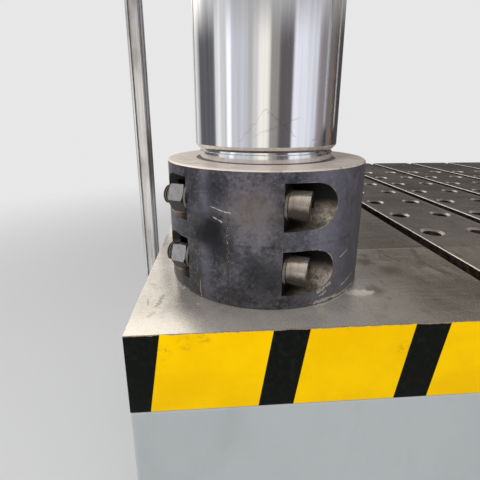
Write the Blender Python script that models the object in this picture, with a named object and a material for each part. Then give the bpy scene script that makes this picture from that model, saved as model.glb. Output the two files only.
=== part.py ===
"""Four-column hydraulic press for deep drawing and stamping, 10,000 kN class.

Metres, +Z up. The origin is on the floor under the press's vertical axis.
+X runs along the front of the table and -Y is the operator's side.
The slide's joint runs down from its top position, and the die cushion's
joint runs up from its lowest position.
"""

import math

import bmesh
import bpy
from mathutils import Vector

# Clearances
FACE_GAP = 0.0003
RUNNING_GAP = 0.0005

# Columns and their places
COLUMN_PITCH_X = 2.420
COLUMN_PITCH_Y = 1.400
COLUMN_RADIUS = 0.150
NECK_STEP = 0.008
NECK_CHAMFER = 0.009
NECK_ABOVE_NUT = 0.020
COLUMN_END = 0.020
COLUMN_SIDES = 20
BORE_CLEARANCE = 0.0015

# Bed, table plate and feet
BED_EDGE_X = 0.258
BED_EDGE_Y = 0.264
BED_DEPTH = 0.950
FLOOR_ROOM = 0.080
FOOT_WIDTH = 0.360
FOOT_SPREAD = 0.620
FOOT_INSET = 0.020
WELL_TO_COLUMN = 0.350
WELL_SIDE_WALL = 0.324
WELL_FLOOR = 0.100
WINDOW_WIDTH = 0.500
WINDOW_HEIGHT = 0.480
WINDOW_SPREAD = 0.420
WINDOW_SILL = 0.220
END_RECESS_WIDTH = 0.360
END_RECESS_HEIGHT = 0.560
END_RECESS_DEPTH = 0.300
END_RECESS_SPREAD = 0.230
TABLE_THICKNESS = 0.150

# T-slots of the table and of the slide, and the cushion pin holes
SLOT_COUNT = 6
SLOT_PITCH = 0.300
SLOT_NECK_WIDTH = 0.036
SLOT_NECK_DEPTH = 0.038
SLOT_HEAD_WIDTH = 0.060
SLOT_HEAD_HEIGHT = 0.025
PIN_COLUMNS = 10
PIN_ROWS = 7
PIN_PITCH_Y = 0.180
PIN_HOLE_RADIUS = 0.025
PIN_HOLE_SIDES = 8

# Round nuts, and the split clamp nuts that stand on the table
NUT_WALL = 0.068
NUT_HEIGHT = 0.250
NUT_CHAMFER = 0.003
BORE_MOUTH = 0.008
SEAM_ANGLE = math.radians(25.0)
SEAM_WIDTH = 0.0015
SEAM_GROOVE = 0.030
LOWER_SCREW_HEIGHT = 0.068
UPPER_SCREW_MARGIN = 0.063
SCREW_INNER_WALL = 0.0025
POCKET_RADIUS = 0.0415
POCKET_WALL = 0.092
POCKET_ARC_STEPS = 6

# M36 clamp screws, nuts and washers
SCREW_RADIUS = 0.018
SCREW_HOLE_RADIUS = 0.0195
THREAD_REACH = 0.019
HEAD_RADIUS = 0.027
HEAD_HEIGHT = 0.036
HEAD_CHAMFER = 0.002
KEY_WIDTH = 0.027
KEY_DEPTH = 0.019
HEX_WIDTH = 0.055
HEX_HEIGHT = 0.031
WASHER_RADIUS = 0.028
WASHER_THICKNESS = 0.005
SCREW_SIDES = 12

# Slide and its guide bushes
DAYLIGHT = 1.600
SLIDE_HEIGHT = 0.780
SLIDE_EDGE = 0.235
SLIDE_RECESS_WIDTH = 0.560
SLIDE_RECESS_HEIGHT = 0.400
SLIDE_RECESS_DEPTH = 0.120
SLIDE_RECESS_PITCH = 0.700
BUSH_WALL = 0.034
BUSH_FLANGE = 0.040
BUSH_FLANGE_HEIGHT = 0.030

# Crown
CROWN_NUT_ROOM = 0.040
CROWN_DEPTH = 0.900
CROWN_RECESS_WIDTH = 0.560
CROWN_RECESS_HEIGHT = 0.560
CROWN_RECESS_DEPTH = 0.200
CROWN_RECESS_PITCH = 0.700

# Main cylinder and ram
SLIDE_STROKE = 1.000
CYLINDER_RADIUS = 0.470
BORE_RADIUS = 0.355
RAM_RADIUS = 0.280
RAM_FLANGE_RADIUS = 0.400
RAM_FLANGE_HEIGHT = 0.080
PISTON_LENGTH = 0.300
PISTON_END_ROOM = 0.050
PISTON_LOWER_ROOM = 0.150
GLAND_HEIGHT = 0.070
GLAND_CLEARANCE = 0.020
SHOULDER_RADIUS = 0.560
SHOULDER_HEIGHT = 0.090
CYLINDER_HEAD = 0.120
LOCK_NUT_RADIUS = 0.555
LOCK_NUT_HEIGHT = 0.150
FILL_PORT_RADIUS = 0.120

# Filling valve, tank, pumps, manifold and pipe on the crown
VALVE_FLANGE_RADIUS = 0.240
VALVE_FLANGE_HEIGHT = 0.050
VALVE_BODY_RADIUS = 0.170
VALVE_BODY_HEIGHT = 0.260
VALVE_CAP_HEIGHT = 0.030
SUCTION_RADIUS = 0.110
TANK_END_ROOM = 0.050
TANK_HEIGHT = 1.000
TANK_FRONT_ROOM = 0.025
TANK_BACK_INSET = 0.015
TANK_COVER_RADIUS = 0.210
TANK_COVER_HEIGHT = 0.018
FILLER_RADIUS = 0.060
FILLER_HEIGHT = 0.070
MOTOR_RADIUS = 0.155
MOTOR_LENGTH = 0.440
MOTOR_INNER_END = 0.080
MOTOR_FRONT_INSET = 0.190
MOTOR_FOOT_HEIGHT = 0.040
MOTOR_FOOT_WIDTH = 0.250
MOTOR_BOX_WIDTH = 0.150
MOTOR_BOX_HEIGHT = 0.055
FITTING_SIDES = 16
PUMP_RADIUS = 0.085
PUMP_LENGTH = 0.240
BELL_RADIUS = 0.115
BELL_LENGTH = 0.120
MANIFOLD_SIZE = (0.300, 0.620, 0.240)
MANIFOLD_ROOM = 0.060
VALVE_BLOCK_SIZE = (0.070, 0.070, 0.130)
VALVE_BLOCK_COUNT = 4
PIPE_RADIUS = 0.030
PIPE_RISE = 0.220
PIPE_BEND = 0.090
PIPE_ARC_STEPS = 4

# Die cushion
CUSHION_STROKE = 0.250
CUSHION_THICKNESS = 0.220
CUSHION_SIDE_ROOM = 0.015
CUSHION_TOP_ROOM = 0.030
CUSHION_ROD_RADIUS = 0.180
CUSHION_CYLINDER_WALL = 0.080
CUSHION_CYLINDER_FLOOR = 0.060
CUSHION_REST_ROOM = 0.100
CUSHION_CYLINDER_LIFT = 0.060
CUSHION_FLANGE = 0.070
CUSHION_FLANGE_HEIGHT = 0.045

# Ladder and stroke switch rail, on the two ends of the press
SIDE_REACH = 0.190
END_FITTING_Y = 0.236
LADDER_WIDTH = 0.440
STRINGER_DEPTH = 0.060
STRINGER_THICKNESS = 0.014
RUNG_RADIUS = 0.014
RUNG_PITCH = 0.300
LADDER_FOOT = 0.250
LADDER_TOP_REACH = 0.900
RAIL_WIDTH = 0.040
RAIL_DEPTH = 0.080
RAIL_OFFSET = 0.107
RAIL_GROOVE_WIDTH = 0.010
RAIL_GROOVE_DEPTH = 0.010
RAIL_TAIL = 0.040
ARM_THICKNESS = 0.016
ARM_HEIGHT = 0.090
ARM_INSET = 0.085
ARM_FRONT_INSET = 0.015
STANDOFF_THICKNESS = 0.012
SWITCH_SIZE = (0.050, 0.055, 0.120)
SWITCH_SINK = 0.015
SWITCH_OVERRUN = 0.040
STRIKER_WIDTH = 0.040
STRIKER_HEIGHT = 0.200
STRIKER_GAP = 0.014

# Values that follow from the driving dimensions
NECK_RADIUS = COLUMN_RADIUS - NECK_STEP
NUT_RADIUS = NECK_RADIUS + NUT_WALL
SCREW_DEPTH = NECK_RADIUS + SCREW_HOLE_RADIUS + SCREW_INNER_WALL
SCREW_SEAT = POCKET_WALL + FACE_GAP + WASHER_THICKNESS + FACE_GAP
SCREW_END = SCREW_SEAT + HEX_HEIGHT + THREAD_REACH
HEX_RADIUS = HEX_WIDTH / 2 / math.cos(math.pi / 6)
ROUNDING = 1.0 / math.cos(math.pi / COLUMN_SIDES)
COLUMN_HOLE = (NECK_RADIUS + BORE_CLEARANCE) * ROUNDING
BED_HALF_X = COLUMN_PITCH_X / 2 + BED_EDGE_X
BED_HALF_Y = COLUMN_PITCH_Y / 2 + BED_EDGE_Y
WELL_HALF_X = COLUMN_PITCH_X / 2 - WELL_TO_COLUMN
WELL_HALF_Y = BED_HALF_Y - WELL_SIDE_WALL
BED_BOTTOM = NUT_HEIGHT + COLUMN_END + FLOOR_ROOM
BED_TOP = BED_BOTTOM + BED_DEPTH
TABLE_BOTTOM = BED_TOP + FACE_GAP
TABLE_TOP = TABLE_BOTTOM + TABLE_THICKNESS
SLIDE_BOTTOM = TABLE_TOP + DAYLIGHT
SLIDE_TOP = SLIDE_BOTTOM + SLIDE_HEIGHT
CROWN_BOTTOM = SLIDE_TOP + BUSH_FLANGE_HEIGHT + CROWN_NUT_ROOM + NUT_HEIGHT
CROWN_TOP = CROWN_BOTTOM + CROWN_DEPTH
BUSH_RADIUS = COLUMN_RADIUS + RUNNING_GAP + BUSH_WALL
END_RUN = BED_HALF_X + SIDE_REACH
RAIL_INNER = -BED_HALF_X - RAIL_OFFSET + RAIL_WIDTH / 2
RAIL_OUTER = RAIL_INNER - RAIL_WIDTH
RAIL_BACK = -END_FITTING_Y + RAIL_DEPTH / 2
# A length longer than any cut is deep
BIG = 1.0

# Colour, roughness and metallic value of each finish
FINISHES = {
    "ground_steel": ((0.36, 0.33, 0.30), 0.42, 0.85),
    "chrome": ((0.72, 0.73, 0.76), 0.12, 1.0),
    "blackened_steel": ((0.055, 0.062, 0.078), 0.48, 0.70),
    "bright_steel": ((0.52, 0.49, 0.46), 0.34, 0.95),
    "hex_steel": ((0.20, 0.20, 0.21), 0.45, 0.85),
    "bronze": ((0.55, 0.36, 0.16), 0.38, 0.95),
    "grey_paint": ((0.50, 0.53, 0.54), 0.45, 0.0),
    "dark_paint": ((0.060, 0.065, 0.070), 0.50, 0.0),
    "blue_paint": ((0.080, 0.170, 0.330), 0.45, 0.0),
    "yellow_paint": ((0.85, 0.55, 0.02), 0.45, 0.0),
    "cast_iron": ((0.16, 0.16, 0.16), 0.60, 0.60),
    "aluminium": ((0.74, 0.75, 0.77), 0.34, 0.90),
}

CORNERS = {
    "front_left": (-1, -1, -SEAM_ANGLE),
    "front_right": (1, -1, SEAM_ANGLE),
    "back_left": (-1, 1, math.pi + SEAM_ANGLE),
    "back_right": (1, 1, math.pi - SEAM_ANGLE),
}


def clear_scene():
    """Remove every object, so that the model starts from an empty scene."""
    for thing in list(bpy.data.objects):
        bpy.data.objects.remove(thing, do_unlink=True)


def finished(name, finish):
    """One Principled material for the sub-part called name."""
    colour, roughness, metallic = FINISHES[finish]
    material = bpy.data.materials.new(name)
    material.use_nodes = True
    shader = material.node_tree.nodes["Principled BSDF"]
    shader.inputs["Base Color"].default_value = (*colour, 1.0)
    shader.inputs["Roughness"].default_value = roughness
    shader.inputs["Metallic"].default_value = metallic
    return material


def to_mesh(bm, name):
    """Close off a bmesh as mesh data with its faces pointing out."""
    bmesh.ops.remove_doubles(bm, verts=bm.verts, dist=1e-6)
    bmesh.ops.recalc_face_normals(bm, faces=bm.faces)
    mesh = bpy.data.meshes.new(name)
    bm.to_mesh(mesh)
    bm.free()
    return mesh


def place(name, data, parent=None, location=(0, 0, 0), turn=0.0):
    """Link an object to the scene at its place, turned about Z."""
    thing = bpy.data.objects.new(name, data)
    bpy.context.scene.collection.objects.link(thing)
    thing.parent = parent
    thing.location = location
    thing.rotation_euler = (0.0, 0.0, turn)
    return thing


def node(name, mesh, finish, parent=None, location=(0, 0, 0), turn=0.0):
    """A sub-part: its mesh, its own material and smooth round faces."""
    part = place(name, mesh, parent, location, turn)
    mesh.materials.clear()
    mesh.materials.append(finished(name, finish))
    mesh.shade_smooth()
    mesh.set_sharp_from_angle(angle=math.radians(32))
    return part


def combine(part, operation, name, mesh, location=(0, 0, 0)):
    """Cut a helper shape out of a part, or join it to the part."""
    helper = place(name, mesh, part.parent, location, part.rotation_euler.z)
    helper.hide_render = True
    helper.display_type = "WIRE"
    change = part.modifiers.new(name, "BOOLEAN")
    change.operation = operation
    change.solver = "EXACT"
    change.object = helper
    return helper


def boxes(name, bounds):
    """One mesh with a box for each pair of low and high corners."""
    bm = bmesh.new()
    for low, high in bounds:
        made = bmesh.ops.create_cube(bm, size=1.0)["verts"]
        low, high = Vector(low), Vector(high)
        bmesh.ops.scale(bm, vec=high - low, verts=made)
        bmesh.ops.translate(bm, vec=(low + high) / 2, verts=made)
    return to_mesh(bm, name)


def turned(name, profile, sides=COLUMN_SIDES, axis="Z", places=((0, 0, 0),)):
    """A turned solid for each place, from (radius, height) points along axis."""
    bm = bmesh.new()
    for spot in places:
        new = []
        for radius, height in profile:
            point = {"Z": (radius, 0, height), "X": (height, radius, 0), "Y": (0, height, radius)}
            new.append(bm.verts.new(Vector(point[axis]) + Vector(spot)))
        edges = [bm.edges.new(pair) for pair in zip(new, new[1:])]
        if min(radius for radius, height in profile) > 0:
            edges.append(bm.edges.new((new[-1], new[0])))
        direction = {"Z": (0, 0, 1), "X": (1, 0, 0), "Y": (0, 1, 0)}[axis]
        bmesh.ops.spin(bm, geom=new + edges, cent=spot, axis=direction, dvec=(0, 0, 0),
                       angle=2 * math.pi, steps=sides, use_merge=True)
    return to_mesh(bm, name)


def disc_profile(radius, low, high):
    """Profile of a plain solid cylinder."""
    return [(0, low), (radius, low), (radius, high), (0, high)]


def ring_profile(inner, outer, low, high):
    """Profile of a plain ring."""
    return [(inner, low), (outer, low), (outer, high), (inner, high)]


def prisms(name, outlines, low, high):
    """Outlines of (y, z) points, each extruded along X from low to high."""
    bm = bmesh.new()
    for outline in outlines:
        face = bm.faces.new([bm.verts.new((low, y, z)) for y, z in outline])
        grown = bmesh.ops.extrude_face_region(bm, geom=[face])["geom"]
        moved = [item for item in grown if isinstance(item, bmesh.types.BMVert)]
        bmesh.ops.translate(bm, vec=(high - low, 0, 0), verts=moved)
    return to_mesh(bm, name)


def spread(count, pitch):
    """Positions of count things at an even pitch, centred on zero."""
    return [(index - (count - 1) / 2) * pitch for index in range(count)]


def column_axes():
    """The four column axes in plan."""
    return [(sx * COLUMN_PITCH_X / 2, sy * COLUMN_PITCH_Y / 2, 0) for sx, sy, turn in CORNERS.values()]


def slot_prisms(face, inward, half_length):
    """T-slots along Y, cut into a level face in the direction inward."""
    neck_end = face + inward * SLOT_NECK_DEPTH
    head_end = neck_end + inward * SLOT_HEAD_HEIGHT
    section = [(SLOT_NECK_WIDTH / 2, face - inward * BIG), (SLOT_NECK_WIDTH / 2, neck_end),
               (SLOT_HEAD_WIDTH / 2, neck_end), (SLOT_HEAD_WIDTH / 2, head_end)]
    bm = bmesh.new()
    for x in spread(SLOT_COUNT, SLOT_PITCH):
        loop = [(x + half, z) for half, z in section] + [(x - half, z) for half, z in reversed(section)]
        end = bm.faces.new([bm.verts.new((px, -half_length, pz)) for px, pz in loop])
        grown = bmesh.ops.extrude_face_region(bm, geom=[end])["geom"]
        moved = [item for item in grown if isinstance(item, bmesh.types.BMVert)]
        bmesh.ops.translate(bm, vec=(0, 2 * half_length, 0), verts=moved)
    return to_mesh(bm, "t_slots")


def side_recesses(half_y, size, pitch, middle):
    """Three recesses on each long side of a beam; size is width, height and depth."""
    width, height, depth = size
    low, high = middle - height / 2, middle + height / 2
    bounds = []
    for x in spread(3, pitch):
        for side in (-1, 1):
            near, far = sorted((side * (half_y - depth), side * (half_y + BIG)))
            bounds.append(((x - width / 2, near, low), (x + width / 2, far, high)))
    return bounds


def end_recesses(half_x, size, centres, middle):
    """Recesses on both ends of a beam, at the given places along Y."""
    width, height, depth = size
    low, high = middle - height / 2, middle + height / 2
    bounds = []
    for y in centres:
        for side in (-1, 1):
            near, far = sorted((side * (half_x - depth), side * (half_x + BIG)))
            bounds.append(((near, y - width / 2, low), (far, y + width / 2, high)))
    return bounds


def make_bed():
    """Welded bed with its well, windows, end recesses, column holes and feet."""
    bed = node("bed_frame", boxes("bed_frame", [
        ((-BED_HALF_X, -BED_HALF_Y, BED_BOTTOM), (BED_HALF_X, BED_HALF_Y, BED_TOP))]), "grey_paint")
    foot_half = BED_HALF_Y - FOOT_INSET
    foot_top = BED_BOTTOM + WELL_FLOOR / 2
    feet = [((x - FOOT_WIDTH / 2, -foot_half, 0), (x + FOOT_WIDTH / 2, foot_half, foot_top))
            for x in (-FOOT_SPREAD, FOOT_SPREAD)]
    combine(bed, "UNION", "feet", boxes("feet", feet))
    combine(bed, "DIFFERENCE", "well", boxes("well", [
        ((-WELL_HALF_X, -WELL_HALF_Y, BED_BOTTOM + WELL_FLOOR),
         (WELL_HALF_X, WELL_HALF_Y, BED_TOP + BIG))]))
    sill = BED_BOTTOM + WINDOW_SILL
    windows = []
    for x in (-WINDOW_SPREAD, WINDOW_SPREAD):
        windows.append(((x - WINDOW_WIDTH / 2, -BED_HALF_Y - BIG, sill),
                        (x + WINDOW_WIDTH / 2, BED_HALF_Y + BIG, sill + WINDOW_HEIGHT)))
    combine(bed, "DIFFERENCE", "windows", boxes("windows", windows))
    combine(bed, "DIFFERENCE", "bed_end_recesses", boxes("bed_end_recesses", end_recesses(
        BED_HALF_X, (END_RECESS_WIDTH, END_RECESS_HEIGHT, END_RECESS_DEPTH),
        (-END_RECESS_SPREAD, END_RECESS_SPREAD), (BED_BOTTOM + BED_TOP) / 2)))
    holes = turned("bed_holes", disc_profile(COLUMN_HOLE, -BIG, BED_TOP + BIG), places=column_axes())
    combine(bed, "DIFFERENCE", "bed_holes", holes)
    port = (CUSHION_ROD_RADIUS + RUNNING_GAP + CUSHION_CYLINDER_WALL + FACE_GAP) * ROUNDING
    combine(bed, "DIFFERENCE", "cushion_port", turned(
        "cushion_port", disc_profile(port, -BIG, BED_TOP + BIG)))


def make_table():
    """Ground table plate with T-slots, cushion pin holes and column holes."""
    table = node("table_plate", boxes("table_plate", [
        ((-BED_HALF_X, -BED_HALF_Y, TABLE_BOTTOM), (BED_HALF_X, BED_HALF_Y, TABLE_TOP))]), "ground_steel")
    holes = turned("table_holes", disc_profile(COLUMN_HOLE, TABLE_BOTTOM - BIG, TABLE_TOP + BIG),
                   places=column_axes())
    combine(table, "DIFFERENCE", "table_holes", holes)
    combine(table, "DIFFERENCE", "table_slots", slot_prisms(TABLE_TOP, -1, BED_HALF_Y + BIG))
    spots = [(x, y, 0) for x in spread(PIN_COLUMNS, SLOT_PITCH / 2) for y in spread(PIN_ROWS, PIN_PITCH_Y)]
    pins = turned("pin_holes", disc_profile(PIN_HOLE_RADIUS, TABLE_BOTTOM - BIG, TABLE_TOP + BIG),
                  PIN_HOLE_SIDES, places=spots)
    combine(table, "DIFFERENCE", "pin_holes", pins)


def make_crown():
    """Welded crown with recessed sides, column holes and the cylinder's hole."""
    crown = node("crown", boxes("crown", [
        ((-BED_HALF_X, -BED_HALF_Y, CROWN_BOTTOM), (BED_HALF_X, BED_HALF_Y, CROWN_TOP))]), "grey_paint")
    size = (CROWN_RECESS_WIDTH, CROWN_RECESS_HEIGHT, CROWN_RECESS_DEPTH)
    end_size = (END_RECESS_WIDTH, END_RECESS_HEIGHT, END_RECESS_DEPTH)
    middle = (CROWN_BOTTOM + CROWN_TOP) / 2
    recesses = side_recesses(BED_HALF_Y, size, CROWN_RECESS_PITCH, middle)
    recesses += end_recesses(BED_HALF_X, end_size, (-END_RECESS_SPREAD, END_RECESS_SPREAD), middle)
    combine(crown, "DIFFERENCE", "crown_recesses", boxes("crown_recesses", recesses))
    low, high = CROWN_BOTTOM - BIG, CROWN_TOP + BIG
    combine(crown, "DIFFERENCE", "crown_holes", turned(
        "crown_holes", disc_profile(COLUMN_HOLE, low, high), places=column_axes()))
    combine(crown, "DIFFERENCE", "cylinder_hole", turned(
        "cylinder_hole", disc_profile((CYLINDER_RADIUS + FACE_GAP) * ROUNDING, low, high)))


def column_profile():
    """A column with its threaded necks, which pass through bed, table and crown."""
    neck_top = TABLE_TOP + NUT_HEIGHT + NECK_ABOVE_NUT
    neck_bottom = CROWN_BOTTOM - NUT_HEIGHT - NECK_ABOVE_NUT
    low = BED_BOTTOM - NUT_HEIGHT - COLUMN_END
    high = CROWN_TOP + NUT_HEIGHT + COLUMN_END
    return [(0, low), (NECK_RADIUS, low), (NECK_RADIUS, neck_top),
            (COLUMN_RADIUS, neck_top + NECK_CHAMFER), (COLUMN_RADIUS, neck_bottom - NECK_CHAMFER),
            (NECK_RADIUS, neck_bottom), (NECK_RADIUS, high), (0, high)]


def nut_profile(low, high):
    """A round nut with a chamfered rim and a wider mouth at its upper end."""
    bore = NECK_RADIUS + FACE_GAP
    return [(bore, low), (NUT_RADIUS, low), (NUT_RADIUS, high - NUT_CHAMFER),
            (NUT_RADIUS - NUT_CHAMFER, high), (bore + BORE_MOUTH, high), (bore, high - BORE_MOUTH)]


def screw_places():
    """Side, upward place and name of the four clamp screws of a split nut."""
    heights = {"lower": LOWER_SCREW_HEIGHT, "upper": NUT_HEIGHT - UPPER_SCREW_MARGIN}
    return [(side, height, f"{end}_{level}") for side, end in ((-1, "front"), (1, "rear"))
            for level, height in heights.items()]


def pocket_outline(side, height):
    """A pocket's section: half round inside, straight and open outwards."""
    points = []
    for step in range(POCKET_ARC_STEPS + 1):
        angle = math.pi * (step / POCKET_ARC_STEPS - 0.5)
        points.append((side * (SCREW_DEPTH - POCKET_RADIUS * math.cos(angle)),
                       height + POCKET_RADIUS * math.sin(angle)))
    outside = side * (NUT_RADIUS + POCKET_RADIUS)
    return points + [(outside, height + POCKET_RADIUS), (outside, height - POCKET_RADIUS)]


def cut_pockets(part, name):
    """Cut the eight fastener pockets of a split nut."""
    outlines = [pocket_outline(side, height) for side, height, label in screw_places()]
    reach = NUT_RADIUS + POCKET_RADIUS
    right = prisms(name + "_right", outlines, POCKET_WALL, reach)
    left = prisms(name + "_left", outlines, -reach, -POCKET_WALL)
    combine(part, "DIFFERENCE", name + "_pockets_right", right)
    combine(part, "DIFFERENCE", name + "_pockets_left", left)


def make_split_nut(corner):
    """The split nut whose halves, screws, nuts and washers are all separate."""
    outer = NUT_RADIUS + POCKET_RADIUS
    spots = [(0, side * SCREW_DEPTH, height) for side, height, label in screw_places()]
    for side, name in ((1, "clamp_nut_half_right"), (-1, "clamp_nut_half_left")):
        half = node(name, turned(name, nut_profile(FACE_GAP, NUT_HEIGHT)), "blackened_steel", corner)
        xs = sorted((side * SEAM_WIDTH / 2, -side * outer))
        away = [((xs[0], -outer, -outer), (xs[1], outer, NUT_HEIGHT + outer))]
        combine(half, "DIFFERENCE", name + "_split", boxes(name + "_split", away))
        cut_pockets(half, name)
        through = disc_profile(SCREW_HOLE_RADIUS, -outer, outer)
        drilled = turned(name + "_holes", through, SCREW_SIDES, "X", spots)
        combine(half, "DIFFERENCE", name + "_holes", drilled)
    for side, height, label in screw_places():
        make_clamp_screw(corner, side, height, label)


def make_clamp_screw(corner, side, height, label):
    """One socket head screw with its washers and hex nut, across the seam."""
    turn = 0.0 if side < 0 else math.pi
    spot = (0, side * SCREW_DEPTH, height)
    head_end = SCREW_SEAT + HEAD_HEIGHT
    screw = node("clamp_screw_" + label, turned("clamp_screw_" + label, [
        (0, -SCREW_END), (SCREW_RADIUS, -SCREW_END), (SCREW_RADIUS, SCREW_SEAT), (HEAD_RADIUS, SCREW_SEAT),
        (HEAD_RADIUS, head_end - HEAD_CHAMFER), (HEAD_RADIUS - HEAD_CHAMFER, head_end), (0, head_end)],
        SCREW_SIDES, "X"), "bright_steel", corner, spot, turn)
    key_corner = KEY_WIDTH / 2 / math.cos(math.pi / 6)
    key = disc_profile(key_corner, head_end - KEY_DEPTH, head_end + KEY_DEPTH)
    combine(screw, "DIFFERENCE", "key_" + label, turned("key_" + label, key, 6, "X"), spot)
    for end, name in ((1, "head_washer_"), (-1, "nut_washer_")):
        inner = POCKET_WALL + FACE_GAP
        faces = sorted((end * inner, end * (inner + WASHER_THICKNESS)))
        ring = turned(name + label, ring_profile(SCREW_HOLE_RADIUS, WASHER_RADIUS, *faces), SCREW_SIDES, "X")
        node(name + label, ring, "bright_steel", corner, spot, turn)
    hexagon = disc_profile(HEX_RADIUS, -SCREW_SEAT - HEX_HEIGHT, -SCREW_SEAT)
    nut = node("clamp_hex_nut_" + label, turned("clamp_hex_nut_" + label, hexagon, 6, "X"),
               "hex_steel", corner, spot, turn)
    thread = disc_profile(SCREW_RADIUS + FACE_GAP, -SCREW_END - THREAD_REACH, 0)
    combine(nut, "DIFFERENCE", "thread_" + label, turned("thread_" + label, thread, SCREW_SIDES, "X"), spot)


def make_clamped_nut(name, corner):
    """A split nut with its seam as a groove and its fasteners fused to it."""
    nut = node(name, turned(name, nut_profile(FACE_GAP, NUT_HEIGHT)), "blackened_steel", corner)
    cut_pockets(nut, name)
    grooves = []
    for side in (-1, 1):
        ys = sorted((side * (NUT_RADIUS - SEAM_GROOVE), side * (NUT_RADIUS + SEAM_GROOVE)))
        grooves.append(((-SEAM_WIDTH / 2, ys[0], -NUT_HEIGHT), (SEAM_WIDTH / 2, ys[1], 2 * NUT_HEIGHT)))
    combine(nut, "DIFFERENCE", name + "_seam", boxes(name + "_seam", grooves))
    root = POCKET_WALL - WASHER_THICKNESS
    for kind, end, radius, tip, sides in (
            ("heads", 1, HEAD_RADIUS, SCREW_SEAT + HEAD_HEIGHT, SCREW_SIDES),
            ("hexes", -1, HEX_RADIUS, SCREW_SEAT + HEX_HEIGHT, 6),
            ("threads", -1, SCREW_RADIUS, SCREW_END, SCREW_SIDES)):
        bm = bmesh.new()
        for side, height, label in screw_places():
            faces = sorted((-side * end * root, -side * end * tip))
            spot = (0, side * SCREW_DEPTH, height)
            mesh = turned(kind, disc_profile(radius, *faces), sides, "X", (spot,))
            bm.from_mesh(mesh)
            bpy.data.meshes.remove(mesh)
        combine(nut, "UNION", f"{name}_{kind}", to_mesh(bm, f"{name}_{kind}"))


def make_corners(slide_carriage):
    """Columns, their nuts and the slide's guide bushes, corner by corner."""
    for name, (sx, sy, turn) in CORNERS.items():
        x, y = sx * COLUMN_PITCH_X / 2, sy * COLUMN_PITCH_Y / 2
        axis = place("axis_" + name, None, None, (x, y, 0), turn)
        node("column_" + name, turned("column_" + name, column_profile()), "chrome", axis)
        table_axis = place("table_axis_" + name, None, None, (x, y, TABLE_TOP), turn)
        if name == "front_left":
            make_split_nut(table_axis)
        else:
            make_clamped_nut("table_nut_" + name, table_axis)
        bore = NECK_RADIUS + FACE_GAP
        for kind, low in (("bed_nut_", BED_BOTTOM - FACE_GAP - NUT_HEIGHT),
                          ("crown_lower_nut_", CROWN_BOTTOM - FACE_GAP - NUT_HEIGHT),
                          ("crown_top_nut_", CROWN_TOP + FACE_GAP)):
            ring = turned(kind + name, ring_profile(bore, NUT_RADIUS, low, low + NUT_HEIGHT))
            node(kind + name, ring, "blackened_steel", axis)
        running = COLUMN_RADIUS + RUNNING_GAP
        rim = BUSH_RADIUS + BUSH_FLANGE
        flange_low = SLIDE_HEIGHT + FACE_GAP
        flange_top = flange_low + BUSH_FLANGE_HEIGHT
        bush = [(running, 0), (BUSH_RADIUS, 0), (BUSH_RADIUS, flange_low),
                (rim, flange_low), (rim, flange_top), (running, flange_top)]
        node("guide_bush_" + name, turned("guide_bush_" + name, bush), "bronze",
             slide_carriage, (x, y, 0), turn)


def make_slide(carriage):
    """Welded slide with T-slots below, recessed sides and the switch striker."""
    half_x = COLUMN_PITCH_X / 2 + SLIDE_EDGE
    half_y = COLUMN_PITCH_Y / 2 + SLIDE_EDGE
    slide = node("slide", boxes("slide", [((-half_x, -half_y, 0), (half_x, half_y, SLIDE_HEIGHT))]),
                 "grey_paint", carriage)
    near = (RAIL_INNER + RAIL_OUTER) / 2 + SWITCH_SIZE[0] / 2 + STRIKER_GAP
    front = RAIL_BACK + SWITCH_SIZE[1] / 2 - STRIKER_WIDTH / 2
    low = (SLIDE_HEIGHT - STRIKER_HEIGHT) / 2
    combine(slide, "UNION", "striker", boxes("striker", [
        ((near, front, low), (-half_x + STRIKER_WIDTH, front + STRIKER_WIDTH, low + STRIKER_HEIGHT))]))
    combine(slide, "DIFFERENCE", "slide_recesses", boxes("slide_recesses", side_recesses(
        half_y, (SLIDE_RECESS_WIDTH, SLIDE_RECESS_HEIGHT, SLIDE_RECESS_DEPTH), SLIDE_RECESS_PITCH,
        SLIDE_HEIGHT / 2)))
    combine(slide, "DIFFERENCE", "slide_slots", slot_prisms(0, 1, half_y + BIG))
    combine(slide, "DIFFERENCE", "bush_holes", turned(
        "bush_holes", disc_profile((BUSH_RADIUS + FACE_GAP) * ROUNDING, -BIG, SLIDE_HEIGHT + BIG),
        places=column_axes()))


def cylinder_levels():
    """Heights of the main cylinder: bottom, bore top and top of its head."""
    bottom = SLIDE_TOP + FACE_GAP + RAM_FLANGE_HEIGHT + GLAND_CLEARANCE + GLAND_HEIGHT + FACE_GAP
    bore_top = bottom + PISTON_LOWER_ROOM + SLIDE_STROKE + PISTON_LENGTH + PISTON_END_ROOM
    return bottom, bore_top, bore_top + CYLINDER_HEAD


def make_cylinder():
    """Main cylinder, hung from the crown by a shoulder and a lock nut."""
    bottom, bore_top, top = cylinder_levels()
    shoulder_top = CROWN_BOTTOM - FACE_GAP
    shoulder_low = shoulder_top - SHOULDER_HEIGHT
    node("main_cylinder", turned("main_cylinder", [
        (BORE_RADIUS, bottom), (CYLINDER_RADIUS, bottom), (CYLINDER_RADIUS, shoulder_low),
        (SHOULDER_RADIUS, shoulder_low), (SHOULDER_RADIUS, shoulder_top), (CYLINDER_RADIUS, shoulder_top),
        (CYLINDER_RADIUS, top), (FILL_PORT_RADIUS, top), (FILL_PORT_RADIUS, bore_top),
        (BORE_RADIUS, bore_top)]), "grey_paint")
    node("cylinder_gland", turned("cylinder_gland", ring_profile(
        RAM_RADIUS + RUNNING_GAP, CYLINDER_RADIUS, bottom - FACE_GAP - GLAND_HEIGHT, bottom - FACE_GAP)),
        "bright_steel")
    low = CROWN_TOP + FACE_GAP
    node("cylinder_lock_nut", turned("cylinder_lock_nut", ring_profile(
        CYLINDER_RADIUS + FACE_GAP, LOCK_NUT_RADIUS, low, low + LOCK_NUT_HEIGHT)), "blackened_steel")


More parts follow.
